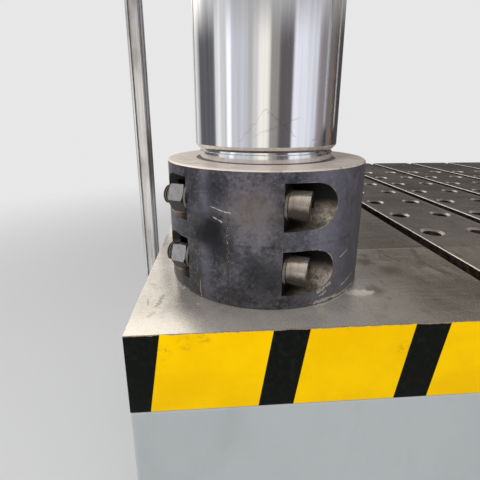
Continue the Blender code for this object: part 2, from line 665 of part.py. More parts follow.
def make_ram(carriage):
    """Piston, rod and bolted flange that push the slide down."""
    bore_top = cylinder_levels()[1] - SLIDE_BOTTOM
    low = SLIDE_HEIGHT + FACE_GAP
    piston_top = bore_top - PISTON_END_ROOM
    piston = BORE_RADIUS - RUNNING_GAP
    node("main_ram", turned("main_ram", [
        (0, low), (RAM_FLANGE_RADIUS, low), (RAM_FLANGE_RADIUS, low + RAM_FLANGE_HEIGHT),
        (RAM_RADIUS, low + RAM_FLANGE_HEIGHT), (RAM_RADIUS, piston_top - PISTON_LENGTH),
        (piston, piston_top - PISTON_LENGTH), (piston, piston_top), (0, piston_top)]), "chrome", carriage)


def make_cushion(carriage):
    """Die cushion: its plate and rod move, and its cylinder hangs in the bed."""
    plate_low = -CUSHION_THICKNESS
    half_x = WELL_HALF_X - CUSHION_SIDE_ROOM
    half_y = WELL_HALF_Y - CUSHION_SIDE_ROOM
    node("cushion_plate", boxes("cushion_plate", [((-half_x, -half_y, plate_low), (half_x, half_y, 0))]),
         "dark_paint", carriage)
    floor = CUSHION_CYLINDER_LIFT + CUSHION_CYLINDER_FLOOR
    rod = disc_profile(CUSHION_ROD_RADIUS, floor + FACE_GAP - carriage.location.z, plate_low - FACE_GAP)
    node("cushion_rod", turned("cushion_rod", rod), "chrome", carriage)
    bore = CUSHION_ROD_RADIUS + RUNNING_GAP
    outer = bore + CUSHION_CYLINDER_WALL
    flange = outer + CUSHION_FLANGE
    seat = BED_BOTTOM + WELL_FLOOR + FACE_GAP
    top = carriage.location.z + plate_low - CUSHION_REST_ROOM
    node("cushion_cylinder", turned("cushion_cylinder", [
        (0, CUSHION_CYLINDER_LIFT), (outer, CUSHION_CYLINDER_LIFT), (outer, seat), (flange, seat),
        (flange, seat + CUSHION_FLANGE_HEIGHT), (outer, seat + CUSHION_FLANGE_HEIGHT), (outer, top),
        (bore, top), (bore, floor), (0, floor)]), "grey_paint")


def make_filling_valve():
    """Filling valve on the cylinder head, with its suction pipe to the tank."""
    low = cylinder_levels()[2] + FACE_GAP
    top = low + VALVE_FLANGE_HEIGHT + VALVE_BODY_HEIGHT
    valve = node("filling_valve", turned("filling_valve", [
        (0, low), (VALVE_FLANGE_RADIUS, low), (VALVE_FLANGE_RADIUS, low + VALVE_FLANGE_HEIGHT),
        (VALVE_BODY_RADIUS, low + VALVE_FLANGE_HEIGHT), (VALVE_BODY_RADIUS, top),
        (VALVE_BODY_RADIUS - VALVE_CAP_HEIGHT, top + VALVE_CAP_HEIGHT), (0, top + VALVE_CAP_HEIGHT)]),
        "cast_iron")
    middle = low + VALVE_FLANGE_HEIGHT + VALVE_BODY_HEIGHT / 2
    pipe = disc_profile(SUCTION_RADIUS, 0, tank_front() - FACE_GAP)
    combine(valve, "UNION", "suction", turned("suction", pipe, FITTING_SIDES, "Y", ((0, 0, middle),)))


def tank_front():
    """The tank's front face, clear of the cylinder's lock nut."""
    return LOCK_NUT_RADIUS + TANK_FRONT_ROOM


def make_tank():
    """Oil tank on the back of the crown, with its cover and filler cap."""
    low = CROWN_TOP + FACE_GAP
    back = BED_HALF_Y - TANK_BACK_INSET - TANK_COVER_HEIGHT
    half = COLUMN_PITCH_X / 2 - NUT_RADIUS - TANK_END_ROOM
    tank = node("oil_tank", boxes("oil_tank", [
        ((-half, tank_front(), low), (half, back, low + TANK_HEIGHT))]), "grey_paint")
    covers = [(x, back - TANK_COVER_HEIGHT, low + TANK_HEIGHT / 2) for x in (-half / 2, half / 2)]
    combine(tank, "UNION", "tank_covers", turned(
        "tank_covers", disc_profile(TANK_COVER_RADIUS, 0, 2 * TANK_COVER_HEIGHT), FITTING_SIDES, "Y", covers))
    filler = (half - 2 * FILLER_RADIUS, (tank_front() + back) / 2, low + TANK_HEIGHT - FILLER_HEIGHT)
    combine(tank, "UNION", "filler", turned(
        "filler", disc_profile(FILLER_RADIUS, 0, 2 * FILLER_HEIGHT), FITTING_SIDES, places=(filler,)))


def make_pump(name, side):
    """Electric motor, bell housing and pump in line, on one foot."""
    axis_z = CROWN_TOP + FACE_GAP + MOTOR_FOOT_HEIGHT + MOTOR_RADIUS
    y = -BED_HALF_Y + MOTOR_FRONT_INSET
    start = MOTOR_INNER_END
    bell = start + MOTOR_LENGTH
    pump = bell + BELL_LENGTH
    end = pump + PUMP_LENGTH
    profile = [(0, start), (MOTOR_RADIUS, start), (MOTOR_RADIUS, bell), (BELL_RADIUS, bell),
               (BELL_RADIUS, pump), (PUMP_RADIUS, pump), (PUMP_RADIUS, end), (0, end)]
    body = turned(name, [(radius, side * along) for radius, along in profile], FITTING_SIDES, "X")
    motor = node(name, body, "blue_paint", None, (0, y, axis_z))
    near, far = sorted((side * (start + MOTOR_FOOT_HEIGHT), side * (bell - MOTOR_FOOT_HEIGHT)))
    foot = [((near, -MOTOR_FOOT_WIDTH / 2, -MOTOR_RADIUS - MOTOR_FOOT_HEIGHT),
             (far, MOTOR_FOOT_WIDTH / 2, 0))]
    combine(motor, "UNION", name + "_foot", boxes(name + "_foot", foot), motor.location)
    box = [((near, -MOTOR_BOX_WIDTH / 2, 0),
            ((near + far) / 2, MOTOR_BOX_WIDTH / 2, MOTOR_RADIUS + MOTOR_BOX_HEIGHT))]
    combine(motor, "UNION", name + "_box", boxes(name + "_box", box), motor.location)


def manifold_place():
    """Centre of the manifold's base, left of the cylinder's lock nut."""
    return Vector((-LOCK_NUT_RADIUS - MANIFOLD_ROOM - MANIFOLD_SIZE[0] / 2, 0, CROWN_TOP + FACE_GAP))


def make_manifold():
    """Valve block with its row of cartridge valves."""
    length, width, height = MANIFOLD_SIZE
    base = manifold_place()
    block = node("valve_manifold", boxes("valve_manifold", [
        ((-length / 2, -width / 2, 0), (length / 2, width / 2, height))]), "bright_steel", None, base)
    wide, deep, tall = VALVE_BLOCK_SIZE
    x = -length / 4
    valves = [((x - wide / 2, y - deep / 2, height - deep / 2), (x + wide / 2, y + deep / 2, height + tall))
              for y in spread(VALVE_BLOCK_COUNT, width / VALVE_BLOCK_COUNT)]
    combine(block, "UNION", "valves", boxes("valves", valves), base)


def pipe_points():
    """The pressure pipe's centre line: up, over and down onto the cylinder head."""
    start = manifold_place() + Vector((MANIFOLD_SIZE[0] / 4, 0, MANIFOLD_SIZE[2] + FACE_GAP))
    head = cylinder_levels()[2]
    end = Vector((-(VALVE_FLANGE_RADIUS + CYLINDER_RADIUS) / 2, 0, head + FACE_GAP))
    level = head + PIPE_RISE
    points = [start]
    for centre, first in ((Vector((start.x + PIPE_BEND, 0, level - PIPE_BEND)), math.pi),
                          (Vector((end.x - PIPE_BEND, 0, level - PIPE_BEND)), math.pi / 2)):
        for step in range(PIPE_ARC_STEPS + 1):
            angle = first - step / PIPE_ARC_STEPS * math.pi / 2
            points.append(centre + Vector((math.cos(angle), 0, math.sin(angle))) * PIPE_BEND)
    return points + [end]


def make_pipe():
    """Rigid pressure pipe from the manifold to the cylinder head."""
    curve = bpy.data.curves.new("pressure_pipe", "CURVE")
    curve.dimensions = "3D"
    curve.bevel_depth = PIPE_RADIUS
    curve.bevel_resolution = 2
    curve.use_fill_caps = True
    points = pipe_points()
    line = curve.splines.new("POLY")
    line.points.add(len(points) - 1)
    for target, point in zip(line.points, points):
        target.co = (*point, 1.0)
    curve.materials.append(finished("pressure_pipe", "bright_steel"))
    place("pressure_pipe", curve)


def make_ladder():
    """Access ladder on the right end, held by standoffs on bed and crown."""
    inner = END_RUN - STRINGER_DEPTH
    edges = [END_FITTING_Y + side * LADDER_WIDTH / 2 for side in (-1, 1)]
    top = CROWN_TOP + LADDER_TOP_REACH
    half = STRINGER_THICKNESS / 2
    ladder = node("ladder", boxes("ladder", [
        ((inner, y - half, LADDER_FOOT), (END_RUN, y + half, top)) for y in edges]), "yellow_paint")
    count = int((CROWN_TOP - LADDER_FOOT) / RUNG_PITCH)
    middle = (inner + END_RUN) / 2
    rungs = [(middle, 0, LADDER_FOOT + RUNG_PITCH * (step + 0.5)) for step in range(count)]
    combine(ladder, "UNION", "rungs", turned(
        "rungs", disc_profile(RUNG_RADIUS, edges[0], edges[1]), 6, "Y", rungs))
    arms = []
    for z in (BED_BOTTOM + ARM_INSET, CROWN_BOTTOM + ARM_INSET, CROWN_TOP - ARM_INSET):
        for y in edges:
            arms.append(((BED_HALF_X + FACE_GAP, y - STANDOFF_THICKNESS / 2, z - ARM_HEIGHT / 2),
                         (middle, y + STANDOFF_THICKNESS / 2, z + ARM_HEIGHT / 2)))
    combine(ladder, "UNION", "standoffs", boxes("standoffs", arms))


def make_switch_rail():
    """Aluminium rail with the slide's stroke switches, on the left end."""
    arm_levels = (BED_BOTTOM + ARM_INSET, CROWN_BOTTOM + ARM_INSET)
    low = arm_levels[0] - ARM_HEIGHT / 2 - RAIL_TAIL
    high = arm_levels[1] + ARM_HEIGHT / 2 + RAIL_TAIL
    front = RAIL_BACK - RAIL_DEPTH
    rail = node("switch_rail", boxes("switch_rail", [
        ((RAIL_OUTER, front, low), (RAIL_INNER, RAIL_BACK, high))]), "aluminium")
    middle = (RAIL_INNER + RAIL_OUTER) / 2
    half = RAIL_GROOVE_WIDTH / 2
    depth = RAIL_GROOVE_DEPTH
    grooves = []
    for near, far in ((front - BIG, front + depth), (RAIL_BACK - depth, RAIL_BACK + BIG)):
        grooves.append(((middle - half, near, low - BIG), (middle + half, far, high + BIG)))
    for y in (front + RAIL_WIDTH / 2, RAIL_BACK - RAIL_WIDTH / 2):
        for near, far in ((RAIL_OUTER - BIG, RAIL_OUTER + depth), (RAIL_INNER - depth, RAIL_INNER + BIG)):
            grooves.append(((near, y - half, low - BIG), (far, y + half, high + BIG)))
    combine(rail, "DIFFERENCE", "rail_grooves", boxes("rail_grooves", grooves))
    arms = [((-END_RUN, front + ARM_FRONT_INSET, z - ARM_HEIGHT / 2),
             (-BED_HALF_X - FACE_GAP, front + ARM_FRONT_INSET + ARM_THICKNESS, z + ARM_HEIGHT / 2))
            for z in arm_levels]
    combine(rail, "UNION", "rail_arms", boxes("rail_arms", arms))
    striker_z = SLIDE_BOTTOM + SLIDE_HEIGHT / 2
    wide, deep, tall = SWITCH_SIZE
    switches = [((middle - wide / 2, RAIL_BACK - SWITCH_SINK, z - tall / 2),
                 (middle + wide / 2, RAIL_BACK + deep, z + tall / 2))
                for z in (striker_z + SWITCH_OVERRUN, striker_z - SLIDE_STROKE / 2,
                          striker_z - SLIDE_STROKE - SWITCH_OVERRUN)]
    combine(rail, "UNION", "switches", boxes("switches", switches))


def main():
    """Build the whole press."""
    clear_scene()
    slide_carriage = place("slide_carriage", None, None, (0, 0, SLIDE_BOTTOM))
    cushion_top = BED_TOP - CUSHION_STROKE - CUSHION_TOP_ROOM
    cushion_carriage = place("cushion_carriage", None, None, (0, 0, cushion_top))
    make_bed()
    make_table()
    make_crown()
    make_corners(slide_carriage)
    make_slide(slide_carriage)
    make_cylinder()
    make_ram(slide_carriage)
    make_cushion(cushion_carriage)
    make_filling_valve()
    make_tank()
    make_pump("pump_motor_left", -1)
    make_pump("pump_motor_right", 1)
    make_manifold()
    make_pipe()
    make_ladder()
    make_switch_rail()


main()
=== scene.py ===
"""Looks of the four-column hydraulic press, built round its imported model.

Metres, +Z up, in the model's own frame. The camera stands where the
photographer stood, close to the front left column and its clamp nut.
"""

import math

import bmesh
import bpy
from mathutils import Matrix, Vector


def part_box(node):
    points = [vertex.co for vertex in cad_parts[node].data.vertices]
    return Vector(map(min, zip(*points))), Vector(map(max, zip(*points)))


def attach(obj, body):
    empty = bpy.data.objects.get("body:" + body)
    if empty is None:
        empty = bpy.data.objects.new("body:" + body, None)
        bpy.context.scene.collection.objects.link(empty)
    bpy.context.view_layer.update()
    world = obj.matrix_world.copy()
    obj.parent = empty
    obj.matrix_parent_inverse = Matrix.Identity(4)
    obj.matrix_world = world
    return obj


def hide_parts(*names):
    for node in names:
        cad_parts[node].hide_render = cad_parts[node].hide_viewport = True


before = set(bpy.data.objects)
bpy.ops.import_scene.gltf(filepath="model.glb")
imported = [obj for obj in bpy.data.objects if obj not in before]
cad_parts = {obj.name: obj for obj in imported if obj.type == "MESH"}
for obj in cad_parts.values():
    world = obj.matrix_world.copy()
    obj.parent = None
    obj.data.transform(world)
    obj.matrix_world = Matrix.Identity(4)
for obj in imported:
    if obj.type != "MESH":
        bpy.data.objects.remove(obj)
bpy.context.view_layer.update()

# The camera, measured from the front left column's axis at table height
CAMERA_FROM_COLUMN = Vector((-0.1025, -0.7070, 0.3291))
CAMERA_DIRECTION = Vector((0.0648, 0.9660, -0.2501))
CAMERA_LENS = 23.99
CAMERA_SHIFT = -0.0802

# Columns and nuts
COLUMN_RADIUS = 0.150
NECK_RADIUS = 0.142
NECK_ABOVE_NUT = 0.020
NECK_CHAMFER = 0.009
RELIEF_DEPTH = 0.004
RELIEF_WIDTH = 0.004
NUT_RADIUS = 0.210
NUT_HEIGHT = 0.250
NUT_CHAMFER = 0.003
NUT_BORE = 0.1423
BORE_MOUTH = 0.008
SEAM_ANGLE = math.radians(25.0)
SEAM_WIDTH = 0.0002
ROUND = 128

# Clamp screws, washers, hex nuts and their pockets
SCREW_HEIGHTS = {"lower": 0.068, "upper": 0.187}
SCREW_DEPTH = 0.164
SCREW_RADIUS = 0.018
SCREW_HOLE = 0.0195
SCREW_SEAT = 0.0976
SCREW_END = 0.1476
THREAD_PITCH = 0.004
THREAD_DEPTH = 0.0023
HEAD_RADIUS = 0.027
HEAD_HEIGHT = 0.036
KEY_WIDTH = 0.027
KEY_DEPTH = 0.019
HEX_WIDTH = 0.055
HEX_HEIGHT = 0.031
WASHER_RADIUS = 0.028
WASHER_THICKNESS = 0.005
POCKET_RADIUS = 0.0415
POCKET_WALL = 0.092
GAP = 0.0003
# How far each fastener is turned about its own axis, in degrees, so that no two look alike
HEX_TURNS = {"front_upper": 36.5, "front_lower": 40, "rear_upper": 17, "rear_lower": 44}
SCREW_TURNS = {"front_upper": 12, "front_lower": 37, "rear_upper": 5, "rear_lower": 51}

# Table plate
SLOT_COUNT = 6
SLOT_PITCH = 0.300
SLOT_NECK_WIDTH = 0.036
SLOT_NECK_DEPTH = 0.038
SLOT_HEAD_WIDTH = 0.060
SLOT_HEAD_HEIGHT = 0.025
SLOT_CHAMFER = 0.002
PIN_COLUMNS = 10
PIN_ROWS = 7
PIN_PITCH_Y = 0.180
PIN_HOLE_RADIUS = 0.025
PIN_CHAMFER = 0.008
COLUMN_HOLE = 0.1445

# Stroke switch rail
RAIL_CENTRE = (-1.575, -0.236)
RAIL_WIDTH = 0.040
RAIL_DEPTH = 0.080
BRACKET_HEIGHTS = (0.435, 4.2353)
BRACKET_HALF = 0.006
SWITCH_HEIGHTS = (3.4803, 2.9403, 2.4003)
FRAME_END = -1.468

# Round nuts and guide bushes
SPANNER_HOLE_RADIUS = 0.013
SPANNER_HOLE_DEPTH = 0.030
BUSH_BORE = 0.1505
BUSH_WALL = 0.1845
BUSH_FLANGE = 0.2245
BUSH_FLANGE_HEIGHT = 0.030
BOLT_SPIN = 17.0

# Main cylinder, ram and cushion rod
CYLINDER_RADIUS = 0.470
CYLINDER_BORE = 0.355
CYLINDER_HEAD = 0.120
SHOULDER_RADIUS = 0.560
SHOULDER_LOW = 4.06
SHOULDER_HIGH = 4.15
GLAND_BORE = 0.2805
LOCK_NUT_BORE = 0.4705
NOTCH_WIDTH = 0.044
NOTCH_DEPTH = 0.030
RAM_RADIUS = 0.280
RAM_FLANGE_RADIUS = 0.400
RAM_FLANGE_HEIGHT = 0.080
PISTON_RADIUS = 0.3545
PISTON_LENGTH = 0.300
CUSHION_ROD_RADIUS = 0.180

# Filling valve and pipes
VALVE_FLANGE = 0.240
VALVE_FLANGE_HEIGHT = 0.050
VALVE_BODY = 0.170
VALVE_CAP = 0.190
SUCTION_RADIUS = 0.110
SUCTION_FLANGE = 0.155
SUCTION_HEIGHT = 5.8012
PIPE_START = Vector((-0.690, 0, 5.2909))
PIPE_END = Vector((-0.355, 0, 5.6212))
PIPE_TOP = 5.8409
PIPE_RADIUS = 0.030
PIPE_BEND = 0.090

# Pumps, tank and valve block
PUMP_AXIS_Y = -0.774
PUMP_AXIS_Z = 5.2456
FIN_STEP = 12
TANK_COVER_X = 0.475
TANK_COVER_HEIGHT = 5.5506
GAUGE_Y = 0.760
MANIFOLD_TOP = 5.2906
VALVE_PITCH = 0.155

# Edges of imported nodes
WELD_WITHIN = 0.00005
EDGE_ANGLE = math.radians(40)

# Directions and eighths of a turn
UP, DOWN = (0, 0, 1), (0, 0, -1)
HALF_EIGHTH = math.radians(22.5)
EIGHTHS = [Matrix.Rotation(math.radians(45 * step), 4, "Z") for step in range(8)]

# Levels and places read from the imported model
TABLE_LOW, TABLE_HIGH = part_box("table_plate")
TABLE_TOP = TABLE_HIGH.z
CORNER_TURNS = {
    "front_left": -SEAM_ANGLE,
    "front_right": SEAM_ANGLE,
    "back_left": math.pi + SEAM_ANGLE,
    "back_right": math.pi - SEAM_ANGLE,
}


def foot(name):
    """The middle of a node's underside."""
    low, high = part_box(name)
    return Vector(((low.x + high.x) / 2, (low.y + high.y) / 2, low.z))


def column_axis(name):
    """A column's axis in plan, as a point at height zero."""
    return Vector((*foot("column_" + name).xy, 0))


FRONT_LEFT = column_axis("front_left") + Vector((0, 0, TABLE_TOP))
FROM_COLUMN = tuple(-FRONT_LEFT)


# Mesh tools

def new_object(name, mesh, matrix=None):
    """An object in the scene that holds the mesh."""
    thing = bpy.data.objects.new(name, mesh)
    bpy.context.scene.collection.objects.link(thing)
    if matrix is not None:
        thing.matrix_world = matrix
    return thing


def from_bmesh(bm, name):
    """Finish a bmesh as mesh data with its faces pointing out."""
    bmesh.ops.recalc_face_normals(bm, faces=bm.faces)
    mesh = bpy.data.meshes.new(name)
    bm.to_mesh(mesh)
    bm.free()
    return mesh


def lathe(name, profile, segments=ROUND, closed=False, places=((0, 0, 0),), axis="Z"):
    """Turned solids from (radius, height) points; a closed profile makes a ring."""
    turn = {"Z": Matrix.Identity(3), "X": Matrix.Rotation(math.pi / 2, 3, "Y"),
            "Y": Matrix.Rotation(-math.pi / 2, 3, "X")}[axis]
    bm = bmesh.new()
    for place in places:
        rings = []
        for radius, height in profile:
            count = segments if radius > 0 else 1
            ring = []
            for step in range(count):
                angle = 2 * math.pi * step / segments
                point = Vector((radius * math.cos(angle), radius * math.sin(angle), height))
                ring.append(bm.verts.new(turn @ point + Vector(place)))
            rings.append(ring if radius > 0 else ring * segments)
        pairs = list(zip(rings, rings[1:])) + ([(rings[-1], rings[0])] if closed else [])
        for low, high in pairs:
            for step in range(segments):
                after = (step + 1) % segments
                corners = [low[step], low[after], high[after], high[step]]
                face = list(dict.fromkeys(corners))
                if len(face) > 2:
                    bm.faces.new(face)
    return from_bmesh(bm, name)


def rim(radius, low, high, edge):
    """The chamfered rim of a disc or ring, as (radius, height) points from low to high."""
    return [(radius - edge, low), (radius, low + edge), (radius, high - edge), (radius - edge, high)]


def boxes(name, bounds, edge=0.0):
    """One mesh with a box, its edges rounded, for each pair of low and high corners."""
    bm = bmesh.new()
    for low, high in bounds:
        low, high = Vector(low), Vector(high)
        made = bmesh.ops.create_cube(bm, size=1.0)["verts"]
        bmesh.ops.scale(bm, vec=high - low, verts=made)
        bmesh.ops.translate(bm, vec=(low + high) / 2, verts=made)
    if edge > 0:
        bmesh.ops.bevel(bm, geom=list(bm.edges), offset=edge, segments=2, profile=0.6, affect="EDGES")
    return from_bmesh(bm, name)


def prism(name, outlines, low, high, axis="X"):
    """Outlines of two coordinates each, extruded along axis from low to high."""
    bm = bmesh.new()
    direction = {"X": Vector((1, 0, 0)), "Y": Vector((0, 1, 0)), "Z": Vector((0, 0, 1))}[axis]
    for outline in outlines:
        points = []
        for a, b in outline:
            points.append({"X": (low, a, b), "Y": (a, low, b), "Z": (a, b, low)}[axis])
        face = bm.faces.new([bm.verts.new(point) for point in points])
        grown = bmesh.ops.extrude_face_region(bm, geom=[face])["geom"]
        moved = [item for item in grown if isinstance(item, bmesh.types.BMVert)]
        bmesh.ops.translate(bm, vec=direction * (high - low), verts=moved)
    return from_bmesh(bm, name)


def settle(thing):
    """Apply a thing's modifiers to its own mesh."""
    depsgraph = bpy.context.evaluated_depsgraph_get()
    mesh = bpy.data.meshes.new_from_object(thing.evaluated_get(depsgraph))
    thing.modifiers.clear()
    thing.data = mesh


def carve(thing, cutter_mesh, operation="DIFFERENCE"):
    """Cut a mesh out of a thing, or join or intersect the two."""
    cutter = new_object("cutter", cutter_mesh, thing.matrix_world)
    change = thing.modifiers.new("carve", "BOOLEAN")
    change.operation = operation
    change.solver = "EXACT"
    change.object = cutter
    settle(thing)
    bpy.data.objects.remove(cutter)


def smooth(mesh, angle=30.0):
    """Smooth shading with sharp edges above the angle."""
    mesh.shade_smooth()
    mesh.set_sharp_from_angle(angle=math.radians(angle))


def dress(thing, *materials, pick=None):
    """Give a thing its materials, and its faces the one that pick names by index."""
    thing.data.materials.clear()
    for material in materials:
        thing.data.materials.append(material)
    for face in thing.data.polygons:
        face.material_index = pick(face) if pick else 0


def spread(count, pitch):
    """Positions of count things at an even pitch, centred on zero."""
    return [(index - (count - 1) / 2) * pitch for index in range(count)]


def piece(name, mesh, material, body="root", replaces=(), angle=30.0):
    """A finished piece: one material, smooth faces, its body and what it stands for."""
    thing = new_object(name, mesh)
    dress(thing, material)
    smooth(thing.data, angle)
    settle_in(thing, body, replaces)


def settle_in(thing, body, replaces=()):
    """Let a piece ride on its body and stand for its nodes."""
    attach(thing, body)
    if replaces:
        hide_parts(*replaces)


# Materials

class Graph:
    """Short names for the nodes of a tree, in one kind of coordinates."""

    def __init__(self, tree, coordinates):
        self.tree = tree
        self.place = self.node("TexCoord", ())[coordinates]

    def put(self, target, value):
        """Set an input to a number or colour, or link it to a socket."""
        if isinstance(value, bpy.types.NodeSocket):
            self.tree.links.new(value, target)
        elif isinstance(value, (tuple, list)) and len(value) == 3 and target.type == "RGBA":
            target.default_value = (*value, 1.0)
        else:
            target.default_value = value

    def node(self, kind, values, **settings):
        """A new node's outputs, with its settings and first inputs given; None leaves an input."""
        made = self.tree.nodes.new("ShaderNode" + kind)
        for name, value in settings.items():
            setattr(made, name, value)
        for target, value in zip(made.inputs, values):
            if value is not None:
                self.put(target, value)
        return made.outputs

    def math(self, operation, a, b=0.0):
        """A Math node's result."""
        return self.node("Math", (a, b), operation=operation)[0]

    def times(self, a, b):
        """The product of two numbers."""
        return self.math("MULTIPLY", a, b)

    def plus(self, a, b):
        """The sum of two numbers."""
        return self.math("ADD", a, b)

    def minus(self, a, b):
        """The first number less the second."""
        return self.math("SUBTRACT", a, b)

    def most(self, a, b):
        """The greater of two numbers."""
        return self.math("MAXIMUM", a, b)

    def least(self, a, b):
        """The smaller of two numbers."""
        return self.math("MINIMUM", a, b)

    def size(self, a):
        """A number without its sign."""
        return self.math("ABSOLUTE", a)

    def reach(self, a, b):
        """The length of a run of a across and b along."""
        return self.math("SQRT", self.plus(self.times(a, a), self.times(b, b)))

    def axes(self, place=None):
        """The x, y and z of a place."""
        return self.node("SeparateXYZ", (place or self.place,))

    def moved(self, scale=(1, 1, 1), location=(0, 0, 0), turn=(0, 0, 0), place=None):
        """A place after a mapping."""
        return self.node("Mapping", (place or self.place, location, turn, scale))[0]

    def vector(self, x, y, z):
        """A place from its coordinates."""
        return self.node("CombineXYZ", (x, y, z))[0]

    def noise(self, scale, detail=4.0, rough=0.55, place=None, distortion=0.0):
        """Noise between 0 and 1, with features about 1 / scale metres wide."""
        node = self.tree.nodes.new("ShaderNodeTexNoise")
        self.put(node.inputs["Vector"], place or self.place)
        node.inputs["Scale"].default_value = scale
        node.inputs["Detail"].default_value = detail
        node.inputs["Roughness"].default_value = rough
        node.inputs["Distortion"].default_value = distortion
        return node.outputs["Fac"]

    def step(self, value, low, high, first=0.0, last=1.0):
        """A smooth step from first to last as value goes from low to high."""
        return self.node("MapRange", (value, low, high, first, last), interpolation_type="SMOOTHSTEP")[0]

    def mix(self, factor, a, b):
        """A colour between a and b."""
        return self.node("Mix", (factor, None, None, None, None, None, a, b), data_type="RGBA")[2]

    def fall(self, value, low, high):
        """A smooth step down from 1 at low to 0 at high."""
        return self.step(value, low, high, 1.0, 0.0)

    def tint(self, tone, value, low, high, share, colour):
        """The tone with up to the share of a colour, growing as value goes from low to high."""
        return self.mix(self.step(value, low, high, 0.0, share), tone, colour)

    def level(self, factor, a, b):
        """A number between a and b."""
        return self.node("Mix", (factor, None, a, b))[0]

    def near(self, point, radius, soft=0.5, place=None, ragged=0.0):
        """One inside a ball round point, fading out over the soft share of its radius."""
        distance = self.node("VectorMath", (place or self.place, point), operation="DISTANCE")["Value"]
        if ragged:
            wander = self.minus(self.noise(2.2 / radius, 3.0), 0.5)
            distance = self.plus(distance, self.times(wander, ragged * radius))
        return self.fall(distance, radius * (1 - soft), radius)

    def stroke(self, u, v, start, end, width, ragged=0.6):
        """One along a thin line from start to end in the plane of u and v."""
        along = Vector((end[0] - start[0], end[1] - start[1]))
        length = along.length
        along.normalize()
        du = self.minus(u, start[0])
        dv = self.minus(v, start[1])
        run = self.plus(self.times(du, along.x), self.times(dv, along.y))
        over = self.minus(run, self.least(self.most(run, 0.0), length))
        off = self.minus(self.times(dv, along.x), self.times(du, along.y))
        wander = self.times(self.minus(self.noise(160.0, 3.0), 0.5), 3 * ragged * width)
        off = self.plus(off, wander)
        distance = self.reach(over, off)
        broken = self.step(self.noise(300.0, 5.0, 0.7), 0.38, 0.48)
        return self.times(self.fall(distance, width * 0.35, width * 0.6), broken)


class Finish(Graph):
    """A Principled material in object coordinates."""

    def __init__(self, name, colour, roughness, metallic=0.0, coat=0.0):
        self.material = bpy.data.materials.new(name)
        self.material.use_nodes = True
        super().__init__(self.material.node_tree, "Object")
        self.shader = self.tree.nodes["Principled BSDF"]
        self.shader.inputs["Base Color"].default_value = (*colour, 1.0)
        self.shader.inputs["Roughness"].default_value = roughness
        self.shader.inputs["Metallic"].default_value = metallic
        self.shader.inputs["Coat Weight"].default_value = coat

    def upward(self):
        """How far the face looks up: 1 for level, -1 for an underside."""
        return self.axes(self.node("TexCoord", ())["Normal"])[2]

    def bump(self, height, distance, strength):
        """Set the surface's bump, in metres of height."""
        node = self.tree.nodes.new("ShaderNodeBump")
        node.inputs["Strength"].default_value = strength
        node.inputs["Distance"].default_value = distance
        self.put(node.inputs["Height"], height)
        self.put(self.shader.inputs["Normal"], node.outputs[0])

    def set(self, **values):
        """Set the shader's inputs; an underscore stands for a space."""
        for name, value in values.items():
            self.put(self.shader.inputs[name.replace("_", " ")], value)
        return self.material


def chrome_finish():
    """Hard chrome on a ground column: fine streaks along it and a few dark specks."""
    f = Finish("chrome", (0.80, 0.80, 0.82), 0.10, 1.0)
    streaks = f.noise(90.0, 5.0, 0.6, f.moved((1, 1, 0.012)))
    broad = f.noise(14.0, 3.0, 0.5, f.moved((1, 1, 0.03)))
    haze = f.noise(9.0, 5.0, 0.6, f.moved((1, 1, 0.35)))
    specks = f.step(f.noise(520.0, 2.0, 0.5, f.moved((1, 1, 0.45))), 0.745, 0.77)
    spot = f.near(tuple(FRONT_LEFT + Vector((0.081, -0.127, 0.281))), 0.028, 0.8)
    cluster = f.times(spot, f.step(f.noise(420.0, 4.0, 0.65), 0.52, 0.60, 0.0, 0.85))
    dirt = f.most(f.times(specks, 0.5), cluster)
    tone = f.mix(f.step(streaks, 0.38, 0.64), (0.70, 0.70, 0.72), (0.86, 0.86, 0.88))
    tone = f.tint(tone, broad, 0.42, 0.62, 0.35, (0.66, 0.64, 0.62))
    x, y, z = f.axes(f.moved(location=FROM_COLUMN))
    u = f.times(f.math("ARCTAN2", x, f.times(y, -1.0)), COLUMN_RADIUS)
    near_column = f.near(tuple(FRONT_LEFT + Vector((0, -COLUMN_RADIUS, 0.32))), 0.20, 0.2)
    for start, end in (((-0.067, 0.290), (-0.022, 0.345)), ((-0.022, 0.345), (0.033, 0.300)),
                       ((-0.042, 0.300), (0.038, 0.330))):
        mark = f.times(f.stroke(u, z, start, end, 0.0034, 1.6), near_column)
        tone = f.mix(f.times(mark, 0.26), tone, (0.42, 0.33, 0.24))
    f.set(Base_Color=f.mix(dirt, tone, (0.10, 0.075, 0.05)))
    rough = f.level(f.step(streaks, 0.35, 0.7), 0.07, 0.13)
    rough = f.plus(rough, f.step(haze, 0.45, 0.75, 0.0, 0.07))
    f.set(Roughness=f.level(dirt, rough, 0.6))
    f.bump(streaks, 0.0002, 0.20)
    return f.material


